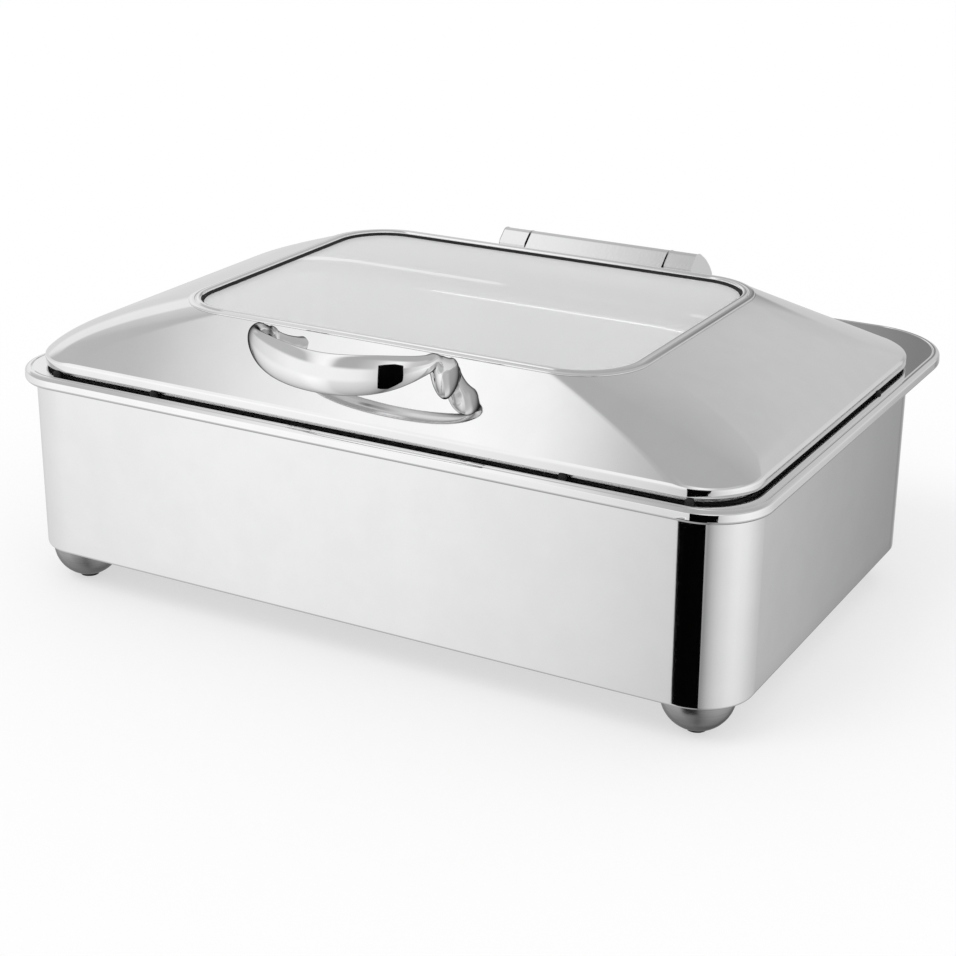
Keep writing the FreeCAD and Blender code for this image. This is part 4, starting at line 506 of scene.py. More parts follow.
def clear_glass(name):
    """Clear toughened glass that lets the light of lamps and of pale surfaces straight through, with a pale
    diffuse layer on it that is a painted reflection of the room, share 1.05 (1 - cos)^2, which grows as it is seen at
    a slant."""
    r = material(name)
    smear = r.noise(9.0, detail=4.0)
    base = r.mixed(r.eased(smear, 0.4, 0.8), colour(0.99, 0.995, 0.994), colour(0.975, 0.98, 0.979))
    clear = r.node("BsdfPrincipled", None, {"Base Color": base, "Roughness": 0.02 * smear,
                                            "Transmission Weight": 1.0, "IOR": 1.5})
    slant = r.slant()
    # A pale diffuse layer painted in as the room's reflection on the glass.
    painted_room_reflection = r.node("BsdfDiffuse", None, {"Color": grey(0.945, 0.948)})
    straight = r.maths("MAXIMUM", r.ray("Shadow"), r.ray("Diffuse"))
    passed = r.node("BsdfTransparent", None, {"Color": colour(0.93, 0.94, 0.935)})
    return r.finish(r.layered(straight, r.layered(slant * slant * 1.05, clear, painted_room_reflection), passed))


def tinted_lens(name):
    """An amber lens: coloured clear plastic with small prisms on its face, its amber painted lighter on their crests
    and darker between them as painted light.
    """
    r = material(name)
    across, down = (r.node("TexWave", {"wave_type": "BANDS", "bands_direction": way},
                           {"Vector": r.place(), "Scale": 300.0}, output="Fac") for way in "XZ")
    facets = across * down
    # Lighter amber on the prisms' crests and darker between them: painted light.
    base = r.mixed(facets, colour(0.75, 0.2, 0.02), colour(0.98, 0.42, 0.06))
    return r.surface({"Base Color": base, "Roughness": 0.08 + 0.05 * facets, "Transmission Weight": 0.35,
                      "Coat Weight": 0.5, "Normal": r.bump(facets, 0.0003, 0.5)})


STEEL = polished_steel("polished_steel")
# The handle's finish carries a painted dark edge: its base colour is painted darker where it turns away from the eye,
# as a painted reflection.
HANDLE_STEEL = polished_steel("polished_handle_casting", edge=0.85)
LINING = brushed_steel("satin_lid_lining", 0.92, 0.28, (900, 5, 900), metal=0.6)
SATIN = brushed_steel("satin_steel", 0.62, 0.26)
PAN_STEEL = brushed_steel("satin_pan_steel", 0.88, 0.24, (500, 6, 500), metal=0.75)
# The feet's finish carries the same painted dark edge, a painted reflection along their outline.
FOOT_STEEL = brushed_steel("turned_foot_steel", 0.42, 0.28, (30, 30, 1400), edge=0.8)
PANEL_STEEL = brushed_steel("satin_panel_steel", 0.66, 0.26, (4, 900, 1400))
HINGE_METAL = cast_metal("polished_casting", 0.83, 0.09)
FASTENER = cast_metal("plain_fastener_steel", 0.56, 0.3, 900.0)
BRASS = dull_metal("plated_brass", (0.7, 0.55, 0.26), (0.86, 0.72, 0.38), 0.3, 200.0)
BLACK = moulded("black_moulded_plastic", (0.022, 0.022, 0.023), 0.42)
ROCKER = moulded("gloss_rocker_plastic", (0.02, 0.02, 0.02), 0.16, 300.0, 0.00001, 0.4)
DIAL = brushed_steel("brushed_dial", 0.76, 0.34, (6, 900, 1200))
LENS = tinted_lens("amber_lens_plastic")
RUBBER = soft_rubber("black_rubber", (0.01, 0.01, 0.0105))
GLASS = clear_glass("clear_window_glass")
INK = moulded("black_print", (0.015, 0.015, 0.016), 0.5)
PALE_INK = moulded("pale_print", (0.8, 0.8, 0.78), 0.5)

BY_SLOT = {
    "mirror_steel": STEEL, "satin_steel": SATIN, "fastener_steel": FASTENER, "hinge_metal": HINGE_METAL,
    "contact_brass": BRASS, "black_plastic": BLACK, "rocker_plastic": ROCKER, "dial_print": DIAL,
    "amber_lens": LENS, "black_rubber": RUBBER, "clear_glass": GLASS,
    "heater_metal": brushed_steel("rolled_aluminium", 0.62, 0.34),
    "element_sheath": dull_metal("oxidised_sheath", (0.16, 0.13, 0.12), (0.36, 0.33, 0.31), 0.55),
    "bush_bronze": dull_metal("bush_bronze", (0.5, 0.34, 0.16), (0.72, 0.53, 0.28), 0.4),
    "damper_case": moulded("damper_case_plastic", (0.11, 0.11, 0.11), 0.45),
    "terminal_white": moulded("terminal_white_plastic", (0.78, 0.78, 0.74), 0.4),
    "grey_silicone": soft_rubber("grey_silicone", (0.55, 0.55, 0.54), 0.55),
    "wire_silicone": soft_rubber("wire_silicone", (0.7, 0.69, 0.64), 0.5),
    "mineral_wool": fibrous_wool("mineral_wool")}
for node in frame["nodes"].values():
    for slot in node.material_slots:
        slot.material = BY_SLOT[slot.material.name.split(".")[0]]


# The casing, the rim and the pans. An outline is (half width, front, back, front corner, back corner).

CASING = (287.85, 177.6, 177.6, 38.0, 38.0)
RIM = (295.45, 185.2, 258.0, 44.0, 67.0)
MOUTH = (257.5, 155.0, 155.0, 42.2, 42.2)
UNDERSIDE, CASING_TOP, RIM_TOP = 27.3, 166.9, 168.1
PANEL_HOLE = (53.0, 237.0, 41.0, 75.0)


def casing():
    """The casing's outer face, from the flange under it, up the wall and over the folded top. The wall is
    left open behind the control panel, and the sheet is given its 1 mm inwards."""
    low_x, high_x, low_z, high_z = PANEL_HOLE
    section = [(-14, UNDERSIDE), (0, UNDERSIDE), (0, low_z), (0, high_z), (0, 164.9), (-2.4, CASING_TOP),
               (-16, CASING_TOP)]
    levels = eased([grown(CASING, out, z) for out, z in section], (0, 2.2, 0, 0, 0.8, 0.8, 0))
    points, faces = skin(rounded_loops(levels))
    x, y, z = points[np.array(faces)].mean(axis=1).T
    gone = (y > CASING_Y + 177) & (x > low_x) & (x < high_x) & (z > low_z) & (z < high_z)
    faces = [face for face, drop in zip(faces, gone) if not drop]
    made = piece("casing_wall", "base", STEEL, (points, faces), "outer_body", "mirror_steel", even=False)
    sheet = made.modifiers.new("sheet", "SOLIDIFY")
    sheet.thickness = 1.0 * MM
    sheet.offset = -1
    made.modifiers.new("even shading", "WEIGHTED_NORMAL").keep_sharp = True


def rim():
    """The rolled rim: a hem that curls in under an upright band, and a roll that is a quarter of an oval,
    inset 3.6 (1 - cos a) over height 2.9 sin a. Then comes the flat top with its groove, to the mouth, and
    the same again about 1.2 mm inside."""
    angle = np.radians(np.linspace(8, 90, 12))
    band = [grown(RIM, -inset, z) for inset, z in ((1.2, 159.2), (0.0, 160.7), (0.0, 161.5), (0.12, 163.2))]
    band += [grown(RIM, -0.2 - 3.6 * (1 - math.cos(a)), 165.2 + 2.9 * math.sin(a)) for a in angle]
    groove = [grown(RIM, -inset, z) for inset, z in ((4.6, RIM_TOP), (4.9, 167.65), (5.2, 167.65), (6.1, RIM_TOP))]
    under = [grown(RIM, -1.4 - 3.2 * (1 - math.cos(a)), 164.6 + 2.3 * math.sin(a)) for a in angle[::-1]]
    mouth = [grown(MOUTH, 0, z) for z in (RIM_TOP, CASING_TOP)]
    rows = band + groove + mouth + under + [grown(RIM, -1.4, 161.2), grown(RIM, -2.3, 159.9)]
    flat = [0] * len(angle)
    reaches = [0.4, 0.8, 0, 0] + flat + [0.1] * 4 + [0.4, 0.4] + flat + [0.3, 0.4]
    grid = rounded_loops(eased(rows, reaches, closed=True, steps=3))
    piece("rolled_rim", "base", STEEL, skin(grid, around=True), "rim_frame", "mirror_steel")


def pan(name, node, flange, wall, floor, top, bottom, sheet, fillet):
    """A drawn pan: its upper face runs in from the flange's edge, over the lip, down the wall and round into
    the floor; its lower face is the same, one sheet further down and out. flange, wall and floor are the
    outside's (half width, half depth, corner), and a cap closes what is left of the floor."""
    def face(thin, high, low, lip, bend):
        levels = [(x - cut, y - cut, y - cut, corner - cut, corner - cut, z) for (x, y, corner), cut, z in
                  ((flange, 0, high), (wall, thin, high), (floor, thin, low))]
        x, y = floor[0] - 60, floor[1] - 60
        return eased(levels + [(x, y, y, 10, 10, low)], (0, lip, bend, 0), steps=8)

    under = face(0, top - sheet, bottom, 2.4, fillet + sheet)
    grid = rounded_loops(np.concatenate([under[::-1], face(sheet, top, bottom + sheet, 3.0, fillet)]))
    piece(name, "base", PAN_STEEL, skin(grid, caps=(0, -1)), node, "satin_steel", sharp=50)


casing()
rim()
pan("water_pan_tray", "water_pan", (270.8, 168.3, 34.0), (256.3, 153.8, 41.0), (249.3, 146.8, 36.8),
    top=169.1, bottom=78.1, sheet=1.0, fillet=6.0)
pan("food_pan_tray", "food_pan", (265.0, 162.5, 26.0), (252.5, 150.0, 38.0), (243.0, 140.5, 32.3),
    top=169.9, bottom=104.9, sheet=0.8, fillet=13.0)


# The lid.

WINDOW = (172.7, 126.2, 130.6, 40.0, 40.0)
LIP_LOW, SHOULDER, LID_RISE = 170.9, 177.3, 44.7
CROWN, CROWN_UNDER = 222.0, 221.0
PANE_LOW, PANE_HIGH, RETAINER_LOW = 216.2, 220.2, 214.7


def slope(share, side=0.0, front=0.0, back=0.0, corner=0.0):
    """The lid's outline at a share s of its rise, with b = 4s(1 - s): straight lines from the lip to the
    window, swelled by b. The last numbers move it inwards."""
    swell = 4 * share * (1 - share)
    return [284.05 - 102.1 * share + 16.8 * swell - side, 173.8 - 38.35 * share + 6.0 * swell - front,
            203.0 - 63.15 * share + 3.0 * swell - back, 43.0 + 6.25 * share + 4.0 * swell - corner,
            60.0 - 10.75 * share + 32.0 * swell - corner, SHOULDER + LID_RISE * share]


def lid():
    """The pressed lid: up its lip, over the shoulder, up the crowned slope to the window, and back inside.
    The lining starts after the outer face's straight rows and its four eased ones, which are five rows each."""
    shares, sheet = np.linspace(0, 1, 27), (1.5, 1.0, 1.2, 1.0)
    outer = [slope(0)[:5] + [LIP_LOW]] + [slope(s) for s in shares] + [grown(WINDOW, 1.6, CROWN)]
    inner = [grown(WINDOW, 1.6, CROWN_UNDER)]
    inner += [slope(s, *sheet)[:5] + [min(slope(s)[5], CROWN_UNDER)] for s in shares[::-1] if s < 0.97]
    inner += [slope(0, *sheet)[:5] + [LIP_LOW]]
    straight = len(shares) - 2
    reaches = [0.4, 1.8] + [0] * straight + [1.0, 0.3, 0.3] + [0] * (len(inner) - 3) + [1.2, 0.3]
    grid = rounded_loops(eased(outer + inner, reaches, closed=True))
    made = piece("lid_cover", "lid", STEEL, skin(grid, around=True), "lid_shell", "mirror_steel")
    lined(made, LINING, (straight + 4 * 5) * grid.shape[1])


def lip_seal():
    """A soft black seal inside the lid's lip, which closes the gap to the pans. It is no node of the part: its black
    is put in as painted shade of that gap.
    """
    section = [(-6.9, 169.5), (-4.8, 169.5), (-4.6, 171.3), (-1.7, 171.9), (-1.7, 176.6), (-6.9, 176.6)]
    ring = hoop(slope(0)[:5], section, (0.6, 0.6, 0.5, 0.5, 0.3, 0.3))
    piece("lip_seal", "lid", RUBBER, ring, slot="black_rubber")


def window():
    """The rings round the window, and its glass: a flat slab with arrised edges, closed above and below."""
    trim = [(0, CROWN), (9.25, CROWN), (9.25, 222.5), (8.9, 222.9), (7.0, 223.2), (5.2, 223.25), (4.6, 223.0)]
    bead = arc(12, 180, 13, 2.15, 1.4, 2.15, 222.7)
    ring = hoop(WINDOW, trim + bead, (0.2, 0.1, 0.15, 0.2, 0.6, 0.2, 0.1) + (0,) * len(bead), steps=3)
    piece("window_trim", "lid", STEEL, ring, "window_bezel", "mirror_steel")
    seal = [(-1.8, PANE_HIGH), (4.8, PANE_HIGH), (4.8, CROWN_UNDER), (1.6, CROWN_UNDER), (1.6, CROWN),
            (0.2, CROWN), (-0.5, 221.2), (-1.8, 220.5)]
    ring = hoop(WINDOW, seal, (0.1, 0.15, 0.15, 0.1, 0.2, 0.3, 0.5, 0.1))
    piece("window_seal", "lid", RUBBER, ring, "window_gasket", "black_rubber")
    retainer = [(3.0, RETAINER_LOW), (8.8, RETAINER_LOW), (8.8, PANE_LOW), (3.0, PANE_LOW)]
    ring = hoop(WINDOW, retainer, (0.3, 0.3, 0.3, 0.3))
    piece("glass_retainer", "lid", SATIN, ring, "window_retainer", "satin_steel")
    section = [(-30, PANE_LOW), (4.8, PANE_LOW), (4.8, PANE_HIGH), (-30, PANE_HIGH)]
    rows = eased([grown(WINDOW, out, z) for out, z in section], (0, 0.5, 0.5, 0), steps=2)
    pane = skin(rounded_loops(rows), caps=(0, -1))
    piece("window_pane", "lid", GLASS, pane, "window_glass", "clear_glass", sharp=40)


lid()
lip_seal()
window()


# The handle.

def along(rows, t):
    """A smooth curve through rows, at places t: between rows p1 and p2 it is the cubic
    p1 + u (p2 - p0) / 2 + ... that also uses the rows before and after them."""
    t = np.clip(t, 0, len(rows) - 1 - 1e-6)
    number = t.astype(int)
    u = (t - number)[..., None]
    p0, p1 = rows[np.maximum(number - 1, 0)], rows[number]
    p2, p3 = rows[number + 1], rows[np.minimum(number + 2, len(rows) - 1)]
    return 0.5 * (2 * p1 + (p2 - p0) * u + (2 * p0 - 5 * p1 + 4 * p2 - p3) * u ** 2
                  + (3 * p1 - p0 - 3 * p2 + p3) * u ** 3)


HANDLE_X = 4.0
LEG = np.array([(69.0, -177.5, 228.8, -0.05, 0.6, 0.8, 8.5, 4.6), (70.8, -171.5, 221.5, 0, 0.7, 0.71, 13.2, 5.2),
                (70.2, -164.0, 216.2, 0, 0.55, 0.83, 13.5, 5.6), (66.2, -156.0, 213.8, 0, 0.48, 0.88, 10.0, 6.2),
                (61.7, -148.5, 211.7, 0, 0.6, 0.8, 9.0, 7.7), (60.0, -143.0, 210.0, 0, 0.6, 0.8, 9.5, 8.5)])


def handle_rows():
    """Stations of the handle, (place, direction of its height, half height, half thickness): an oval bow
    x = 68.25 sin a, y = -182 - 32.5 cos a that rises by 9 sin^2 a, then a leg that is narrow at the bow,
    swells to a rounded lobe and narrows again to its foot on the lid."""
    angle = np.radians(np.arange(10) * 10.0)
    share = np.sin(angle)
    place = np.stack([68.25 * share, -182 - 32.5 * np.cos(angle), 224 + 9 * share ** 2], axis=-1)
    inward = unit(np.stack([-32.5 * share, 68.25 * np.cos(angle), 0 * share], axis=-1))
    up = unit(inward * 4.6 / 27 + np.array([0, 0, 1.0]))
    fade = share ** 4
    bow = np.column_stack([place, up, 13.5 - 7.75 * fade, 3.48 + 0.77 * fade])
    right = np.concatenate([bow, LEG])
    left = right[:0:-1] * np.array([-1, 1, 1, -1, 1, 1, 1, 1])
    return np.concatenate([left, right])


def handle_points(rows, t, turn):
    """Points of the handle at places t along it and at angles turn round its oval section."""
    here = along(rows, t)
    path = unit(along(rows, t + 0.02)[..., :3] - along(rows, t - 0.02)[..., :3])
    side = unit(np.cross(path, here[..., 3:6]))
    up = np.cross(side, path)
    wide, high = here[..., 7] * np.cos(turn), here[..., 6] * np.sin(turn)
    return here[..., :3] + wide[..., None] * side + high[..., None] * up


def outside(points):
    """How far points lie in front of the lid's front slope."""
    return -slope(np.clip((points[..., 2] - SHOULDER) / LID_RISE, 0, 1))[1] - points[..., 1]


def handle():
    """The bowed grip and its two legs in one skin of 141 rings, trimmed where it meets the lid. The end of
    each of its 44 lines is found by halving, 40 times, between a free place and one inside the lid."""
    rows = handle_rows()
    turn = -np.linspace(0, 2 * math.pi, 44, endpoint=False)
    last = len(rows) - 1.0
    ends = []
    for near, far in ((3.0, 0.0), (last - 3.0, last)):
        out, inside = np.full(len(turn), near), np.full(len(turn), far)
        for _ in range(40):
            middle = (out + inside) / 2
            free = outside(handle_points(rows, middle, turn)) > 0
            out, inside = np.where(free, middle, out), np.where(free, inside, middle)
        ends.append(out)
    share = np.linspace(0, 1, 141)[:, None]
    grid = handle_points(rows, ends[0] + (ends[1] - ends[0]) * share, turn + 0 * share)
    grid += [HANDLE_X, CASING_Y, 0]
    piece("bowed_handle", "lid", HANDLE_STEEL, skin(grid, caps=(0, -1)), "handle_grip", "mirror_steel", sharp=60)


handle()


# The feet.

def foot(name, x, y):
    """A turned half ball: radius^2 = ball^2 - (height - middle)^2, from the hollow for its pad up to the
    land under the casing."""
    ball, middle = 25.6, 26.4
    profile = [(3.0, 3.2), (7.0, 3.2), (7.0, 1.95)] + arc(-74, -6, 22, ball, ball, up=middle)
    profile += [(ball, middle), (ball, 27.0), (25.3, UNDERSIDE), (12.0, UNDERSIDE), (12.0, 28.3), (6.0, 28.3)]
    piece(name + "_ball", "base", FOOT_STEEL, turned(profile, (x, y, 0), parts=56), name, "satin_steel", sharp=35)


for side, x in (("left", -253.55), ("right", 253.55)):
    foot("foot_front_" + side, x, -168.1)
    foot("foot_back_" + side, x, 128.1)


# The hinge.

PIVOT = (222.0, 195.3)
CREST = [(212.6, 215.9), (218.8, 215.3), (231.5, 207.9), (241.0, 199.5)]


def shifted(section):
    return [(y + CASING_Y, z) for y, z in section]


def hinge():
    """The base's two housings on their foot plate, and the block between them: each is a section in y and z
    with eased corners, stretched along X. The block's belly is an arc of radius 21 about the pin."""
    seat = [(206.0, RIM_TOP), (247.0, RIM_TOP)]
    housing = seat + [(247.0, 191.8)] + CREST[::-1] + [(202.5, 207.2), (201.5, 198.9), (206.0, 176.1)]
    smooth = eased(shifted(housing), (0.6, 0.6, 3.5, 4.0, 4.5, 2.6, 2.6, 2.5, 3.0, 3.0), closed=True, steps=5)
    plate = shifted(seat + [(247.0, 171.1), (206.0, 171.1)])
    shapes = [prism(smooth, -87.4, -63.5), prism(smooth, 63.5, 87.4), prism(plate, -64.4, 64.4)]
    piece("hinge_housings", "base", HINGE_METAL, together(*shapes), "hinge_base", "hinge_metal", sharp=28, bevel=0.8)
    belly = arc(-138, -28, 24, 21, 21, *PIVOT)
    rear = [(level[2], level[5]) for level in (slope(s) for s in np.linspace(0.3266, 0.04, 6))]
    upper = eased(shifted(rear[:1] + CREST + [(244.4, 194.8), (241.0, 185.3)]), (0, 2.6, 2.6, 4.5, 4.0, 2.0, 0),
                  steps=5)
    ring = np.concatenate([shifted(belly), upper[::-1], shifted(rear[1:])])
    piece("hinge_block", "lid", HINGE_METAL, prism(ring, -61.9, 61.9), "hinge_arm", "hinge_metal", sharp=28, bevel=0.6)


hinge()


# The controls on the back: the panel's face at y, their height, and their places along X.

FACE, LEVEL = 159.6, 58.0
KNOB_X, LAMP_X, SWITCH_X, INLET_X = 88.0, 129.0, 160.0, 209.0


def around_dial(degrees):
    """The direction at a turn of the knob: clockwise from the top, seen from behind."""
    angle = math.radians(degrees)
    return np.array([-math.sin(angle), 0, math.cos(angle)])


def knob():
    """A turned knob: a skirt, and a grip with 24 flutes, each 0.045 cos^1.5 of its radius deep, under a
    dished cap. A raised bar with a pale line points at the dial."""
    profile = [(3.4, 160.6), (18.3, 160.6), (18.6, 160.9), (18.6, 163.0), (18.2, 163.4), (17.3, 163.7), (16.9, 164.4),
               (16.8, 165.0), (16.7, 171.0), (16.6, 177.2), (16.3, 178.4), (15.5, 179.2), (14.2, 179.55),
               (12.6, 179.4), (11.4, 178.9), (3.0, 178.7), (0.4, 178.7)]

    def flutes(row, angle):
        return np.where((row > 5) & (row < 11), -0.045 * np.maximum(np.cos(24 * angle), 0) ** 1.5, 0.0)

    body = turned(profile, (KNOB_X, 0, LEVEL), (0, 1, 0), 192, flutes)
    ridge = slab((KNOB_X, 178.0, LEVEL + 8.2), (0, 0, 1), (1, 0, 0), 7.7, 1.2, 2.3)
    piece("dial_knob", "knob", BLACK, together(body, ridge), "thermostat_knob", "black_plastic", sharp=32)
    line = slab((KNOB_X, 180.28, LEVEL + 10.2), (0, 0, 1), (1, 0, 0), 5.4, 0.45, 0.08)
    piece("pointer_line", "knob", PALE_INK, line, slot="terminal_white", even=False)


def dial():
    """Figures and ticks printed on the dial plate, a tick each 9 degrees."""
    softened("dial_plate", "base", DIAL, 0.12, sharp=40)
    marks = []
    middle = np.array([KNOB_X, FACE + 0.5, LEVEL])
    for step in range(31):
        out = around_dial(step * 9)
        half = 0.75 if step % 5 == 0 else 0.4
        marks.append(slab(middle + out * (18.85 + half), out, np.cross((0, 1, 0), out), half, 0.16, 0.03))
    for number in range(7):
        spot = np.array([KNOB_X, FACE + 0.52, LEVEL]) + around_dial(45 * number) * 22.0
        marks.append(words(str(number), 2.3, spot))
    piece("dial_marks", "base", INK, together(*marks), slot="black_plastic", even=False)


def rocker():
    """The switch: its rocker is a section with two hollow faces, 1.6 + 2 (|z| / edge)^1.25 out, tipped 9
    degrees. Its two marks lie on them, leaning by that curve's steepness."""
    half = 11.3
    reach = np.linspace(-0.97, 0.97, 25) * half
    face = np.column_stack([1.6 + 2.0 * (np.abs(reach) / (0.97 * half)) ** 1.25, reach])
    outline = np.concatenate([[(-4.5, -0.6 * half), (0.0, -half), (2.9, -half)], face[1:-1],
                              [(2.9, half), (0.0, half), (-4.5, 0.6 * half)]])
    cos, sin = math.cos(math.radians(9)), math.sin(math.radians(9))
    tipped = lambda y, z: (158.1 + y * cos + z * sin, LEVEL - y * sin + z * cos)
    section = np.column_stack(tipped(outline[:, 0], outline[:, 1]))
    piece("switch_rocker_cap", "rocker", ROCKER, prism(section, SWITCH_X - 8.5, SWITCH_X + 8.5), "switch_rocker",
          "rocker_plastic", sharp=30, bevel=0.5)
    marks, edge = [], 10.96
    for dz, round_mark in ((6.0, False), (-6.0, True)):
        lean = 2.0 * 1.25 * (abs(dz) / edge) ** 0.25 / edge * math.copysign(1, dz)
        dy = 1.6 + 2.0 * (abs(dz) / edge) ** 1.25
        at = np.array([SWITCH_X, *tipped(dy, dz)])
        up = np.array([0, lean * cos + sin, -lean * sin + cos])
        up /= np.linalg.norm(up)
        out = np.cross(up, (1.0, 0, 0))
        if round_mark:
            marks.append(turned([(1.35, 0.0), (1.85, 0.0), (1.85, 0.14), (1.35, 0.14)], at, out, 40, hollow=True))
        else:
            marks.append(slab(at, up, (1.0, 0, 0), 1.9, 0.3, 0.14))
    piece("switch_marks", "rocker", PALE_INK, together(*marks), slot="terminal_white", even=False)


def lens():
    """The lamp's lens: a flange, and a dome radius 5.3 cos a, rise 1.3 sin a."""
    profile = [(0.4, FACE), (6.4, FACE), (6.4, 160.7), (6.1, 161.05), (5.5, 161.15)]
    profile += arc(0, 86, 12, 5.3, 1.3, up=161.2)
    piece("lamp_lens", "base", LENS, turned(profile, (LAMP_X, 0, LEVEL), (0, 1, 0), 64), "indicator_lens",
          "amber_lens", sharp=40)


def heads(name, body, node, axis, radius, height, spots):
    """The heads of a node's screws, at their seats."""
    patches = [button_head(spot, axis, radius, height) for spot in spots]
    piece(name, body, FASTENER, together(*patches), node, "fastener_steel", sharp=35)


def fasteners():
    """All screw heads that show, each group on the face it holds, and the bumpers' domes."""
    back, down = (0, 1, 0), (0, 0, -1)
    heads("panel_screw_heads", "base", "panel_screws", back, 2.9, 1.4,
          [(x, FACE, z) for x in (49.0, 241.0) for z in (37.0, 79.0)]
          + [(x, 162.1, LEVEL) for x in (INLET_X - 20, INLET_X + 20)])
    shelf_under = 164.9
    heads("hinge_screw_heads", "base", "hinge_screws", down, 4.5, 2.6,
          [(x, y, shelf_under) for x in (-75.4, 75.4) for y in (194.0, 219.0)] + [(0, 219.0, shelf_under)])
    heads("base_screw_heads", "base", "base_screws", down, 3.6, 1.6,
          [(x, y, UNDERSIDE) for x in (-172.7, 0, 172.7) for y in (-189.2, 149.2)]
          + [(x, CASING_Y, UNDERSIDE) for x in (-279.45, 279.45)])
    heads("retainer_screw_heads", "lid", "retainer_screws", down, 2.4, 1.6,
          [(x, y, RETAINER_LOW) for x in (-95, 0, 95) for y in (-152.6, 117.0)]
          + [(x, y, RETAINER_LOW) for x in (-179.1, 179.1) for y in (-64.2, 24.2)])
    heads("arm_screw_heads", "lid", "hinge_arm_screws", (0, -0.6275, -0.7786), 4.5, 2.6,
          [(x, 171.26, 181.55) for x in (-45, -15, 15, 45)])
    inward = np.array([0, 0.6819, -0.7315])
    heads("handle_bolt_heads", "lid", "handle_bolts", inward, 5.2, 4.0,
          [np.array([x, -171.995, 208.59]) + 2.8 * inward for x in (HANDLE_X - 60.5, HANDLE_X + 60.5)])
    bumper = [(0.5, RIM_TOP), (3.0, RIM_TOP), (3.0, 169.2)] + arc(0, 84, 8, 3.0, 1.4, up=169.4)
    spots = [(x, -192.8, 0) for x in (-251, -163, 163, 251)] + [(x, 70, 0) for x in (-283.05, 283.05)]
    piece("bumper_domes", "base", RUBBER, together(*[turned(bumper, spot) for spot in spots]), "lid_bumpers",
          "black_rubber", sharp=50)


knob()
dial()
rocker()
lens()
fasteners()
softened("control_panel", "base", PANEL_STEEL, 0.35)
softened("switch_housing", "base", BLACK, 0.4)
softened("power_inlet", "base", BLACK, 0.5)
softened("inlet_pins", "base", BRASS, 0.35)
softened("hinge_stiffener", "base", SATIN, 0.6)
softened("hinge_backing", "lid", SATIN, 0.4)


# The floor, the light and the camera. SOFT is the even light's share of the full white.

SOFT, RETURNED = 0.86, 0.87


def floor():
    """A pale floor: white to the camera, with faint shadows, and a little darker for the light it returns."""
    far = 9000.0
    corners = np.array([(-far, -far, 0), (far, -far, 0), (far, far, 0), (-far, far, 0)])
    made = built("floor", (corners, [(0, 1, 2, 3)]))
    r = material("pale_floor")
    seen = r.ray("Camera")
    lit = r.node("BsdfDiffuse", None, {"Color": r.mixed(seen, grey(0.8), grey(1))})
    white = r.node("Emission", None, {"Color": grey(1)})
    made.data.materials.append(r.finish(r.layered(0.55 * seen, lit, white)))
    made.visible_glossy = False


def shown_as(tone):
    """The strength at which polished steel, which returns RETURNED of it, shows an 8-bit grey."""
    part = tone / 255
    return (part / 12.92 if part < 0.04 else ((part + 0.055) / 1.055) ** 2.4) / RETURNED


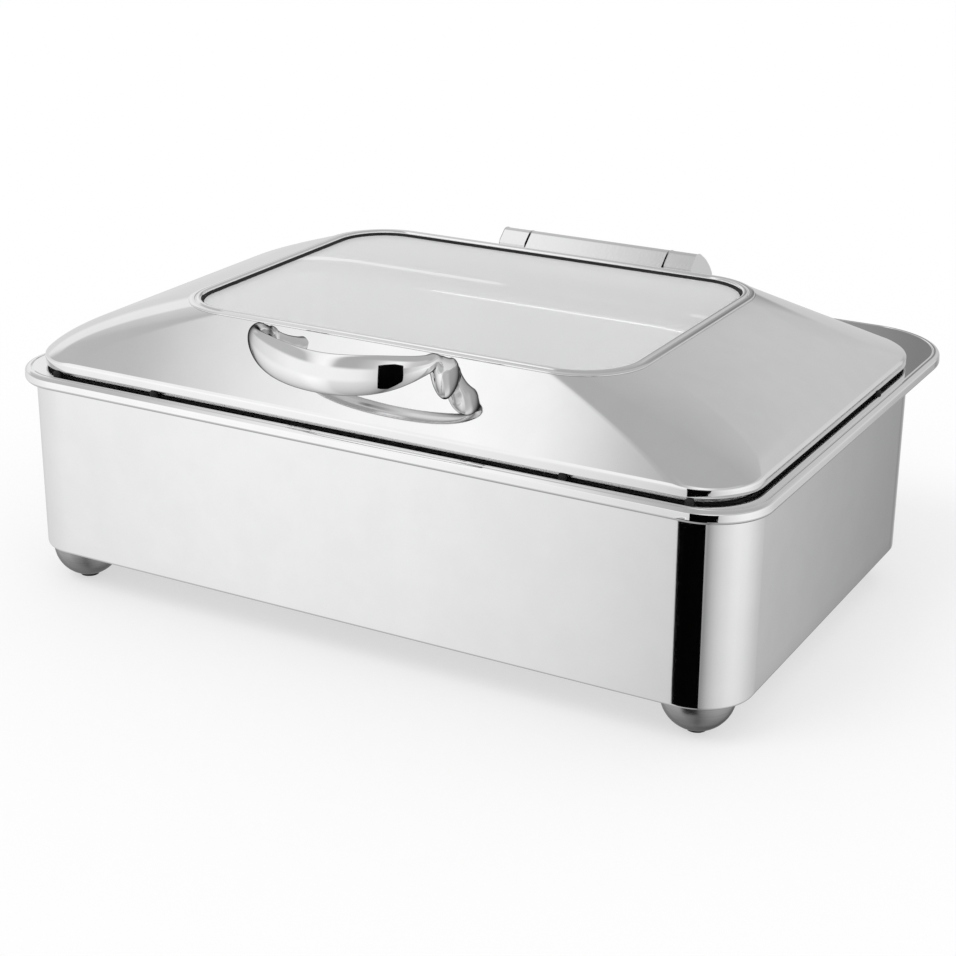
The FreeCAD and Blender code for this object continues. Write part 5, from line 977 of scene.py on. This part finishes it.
def studio():
    """The studio round the dish. Polished metal sees a long strip light over the front, bright walls and a
    dim ceiling behind; all else sees an even white. A ramp gives an 8-bit grey for each turn in degrees from
    the front, or for each -1 to 1 of a part of the direction."""
    world = bpy.data.worlds.new("studio")
    bpy.context.scene.world = world
    r = Recipe(world)
    way = r.node("TexCoord", output="Generated")
    parts = r.node("SeparateXYZ", None, {0: way})
    x, y, z = (Flow(r, socket) for socket in parts.socket.node.outputs)
    azimuth = r.maths("ARCTAN2", x, -1 * y) / (2 * math.pi) + 0.5

    def round_about(*stops):
        return r.ramp(azimuth, [(place / 360 + 0.5, shown_as(tone)) for place, tone in stops])

    def across(way, *stops):
        return r.ramp(way * 0.5 + 0.5, [(place / 2 + 0.5, shown_as(tone)) for place, tone in stops])

    below = round_about(
        (-180, 176), (-150, 192), (-100, 216), (-55, 226), (-43, 229), (-36, 239), (-31, 237), (-26, 226),
        (-22.5, 210), (-8, 206), (6, 196), (18, 168), (25.5, 142), (38, 184), (48, 203), (58, 215), (79, 230),
        (92, 233), (110, 228), (130, 214), (150, 200), (159, 194), (161.5, 170), (164.5, 138), (180, 170))
    level_with = round_about(
        (-180, 190), (-150, 205), (-100, 215), (-60, 226), (-46, 241), (-24, 241), (-6, 236), (12, 200),
        (25.5, 152), (48, 206), (79, 232), (110, 228), (150, 208), (159, 200), (165, 172), (180, 190))
    strip = [(-1, 182), (-0.62, 181), (-0.6, 184), (-0.575, 211), (-0.545, 231), (-0.51, 243), (-0.46, 248),
             (-0.43, 240), (-0.405, 220), (-0.385, 194), (-0.365, 175), (-0.33, 170)]
    front_low = across(x, *strip, (-0.2, 172), (0.0, 192), (0.2, 230), (0.36, 244), (0.5, 234), (0.7, 200), (1, 185))
    front_high = across(x, *strip, (1, 170))
    front = r.mixed(r.eased(z, 0.55, 0.72), front_low, front_high)
    low_back = across(x, (-1, 225), (-0.63, 230), (-0.5, 200), (-0.4, 165), (-0.318, 148), (-0.29, 136),
                      (-0.262, 122), (-0.2, 150), (-0.15, 188), (0, 194), (1, 192))
    high_right = across(y, (0.5, 170), (0.66, 175), (0.8, 180), (0.872, 182), (0.884, 189), (0.894, 194))
    high_left = across(y, (-0.2, 182), (0.2, 184), (0.3, 189), (0.43, 195), (0.62, 206), (0.72, 213))
    high = r.mixed(r.eased(x, -0.55, -0.3), high_left, high_right)
    above = r.mixed(r.eased(y, 0.0, 0.35), front, r.mixed(r.eased(z, 0.38, 0.44), low_back, high))
    dimmed = r.maths("MAXIMUM", 1.31 + 0.9 * z, 0.35)
    under = r.node("VectorMath", {"operation": "SCALE"}, {0: below, "Scale": dimmed})
    sky = r.mixed(r.eased(z, -0.2, -0.08), under, r.mixed(r.eased(z, 0.13, 0.23), level_with, above))
    seen = r.maths("MAXIMUM", r.ray("Camera"), r.ray("Transmission"))
    shown = r.mixed(r.ray("Glossy") * (1 - seen), r.mixed(seen, grey(SOFT), grey(1)), sky)
    r.finish(r.node("Background", None, {"Color": shown, "Strength": 1.0}), "OutputWorld")


def card(name, middle, turn, *outlines):
    """A black card that only polished metal sees, flat on a plane whose normal is turned from the front
    towards +X, with outlines of (distance along it, height). It is clear to rays that meet it at a slant:
    black where 1 - cos of their angle is under 0.3, clear from 0.42."""
    sideways = np.array([math.cos(math.radians(turn)), math.sin(math.radians(turn)), 0])
    patches = [(np.array([np.array([*middle, 0.0]) + side * sideways + [0, 0, z] for side, z in outline]),
                [range(len(outline))]) for outline in outlines]
    made = built(name, together(*patches))
    r = material(name + "_black")
    black = r.node("BsdfDiffuse", None, {"Color": grey(0.002)})
    clear = r.node("BsdfTransparent", None, {"Color": grey(1)})
    made.data.materials.append(r.finish(r.layered(r.eased(r.slant(), 0.3, 0.42), black, clear)))
    for ray in ("camera", "diffuse", "transmission", "volume_scatter", "shadow"):
        setattr(made, "visible_" + ray, False)


def lamp():
    """One wide soft lamp from the upper left, so that shapes and their shadows have a side. It gives a level
    face what SOFT leaves of the full white."""
    light = bpy.data.lights.new("soft_lamp", "SUN")
    light.energy = (1 - SOFT) * math.pi / math.cos(math.radians(35))
    light.angle = math.radians(30)
    made = linked("soft_lamp", light)
    made.rotation_euler = (math.radians(28), math.radians(-22), 0)
    made.visible_glossy = False


FOCAL, PICTURE = 2034.82, 956


def camera():
    """The camera, where the picture was taken from, with its slight roll. Its focal length is FOCAL pixels
    of a picture that is PICTURE wide."""
    place, target = Vector((0.70239, -1.28294, 0.63597)), Vector((0.00575, -0.02, 0.07909))
    forward = (target - place).normalized()
    right = forward.cross(Vector((0, 0, 1))).normalized()
    up = right.cross(forward)
    roll = math.radians(0.48)
    level_x = math.cos(roll) * right + math.sin(roll) * up
    level_y = -math.sin(roll) * right + math.cos(roll) * up
    lens = bpy.data.cameras.new("camera")
    lens.sensor_width = 36
    lens.lens = 36 * FOCAL / PICTURE
    made = linked("camera", lens)
    made.matrix_world = Matrix([(*level_x, 0), (*level_y, 0), (*(-forward), 0), (0, 0, 0, 1)]).transposed()
    made.location = place
    bpy.context.scene.camera = made


floor()
studio()
lamp()
card("corner_card", (0, -257), 0, [(223, -40), (292.5, -40), (286.8, 133.3), (221.5, 133.3)],
     [(245, 133.7), (306, 133.7), (309, 143), (246, 143)], [(248, 143), (318, 143), (322, 180), (249, 180)])
card("grip_card", (69, -255), 30,
     [(-16.5, 200), (0, 184), (17, 205), (12.3, 233), (11.8, 246), (0, 251), (-14, 249), (-21.5, 247)])
camera()
bpy.context.scene.view_settings.view_transform = "Standard"
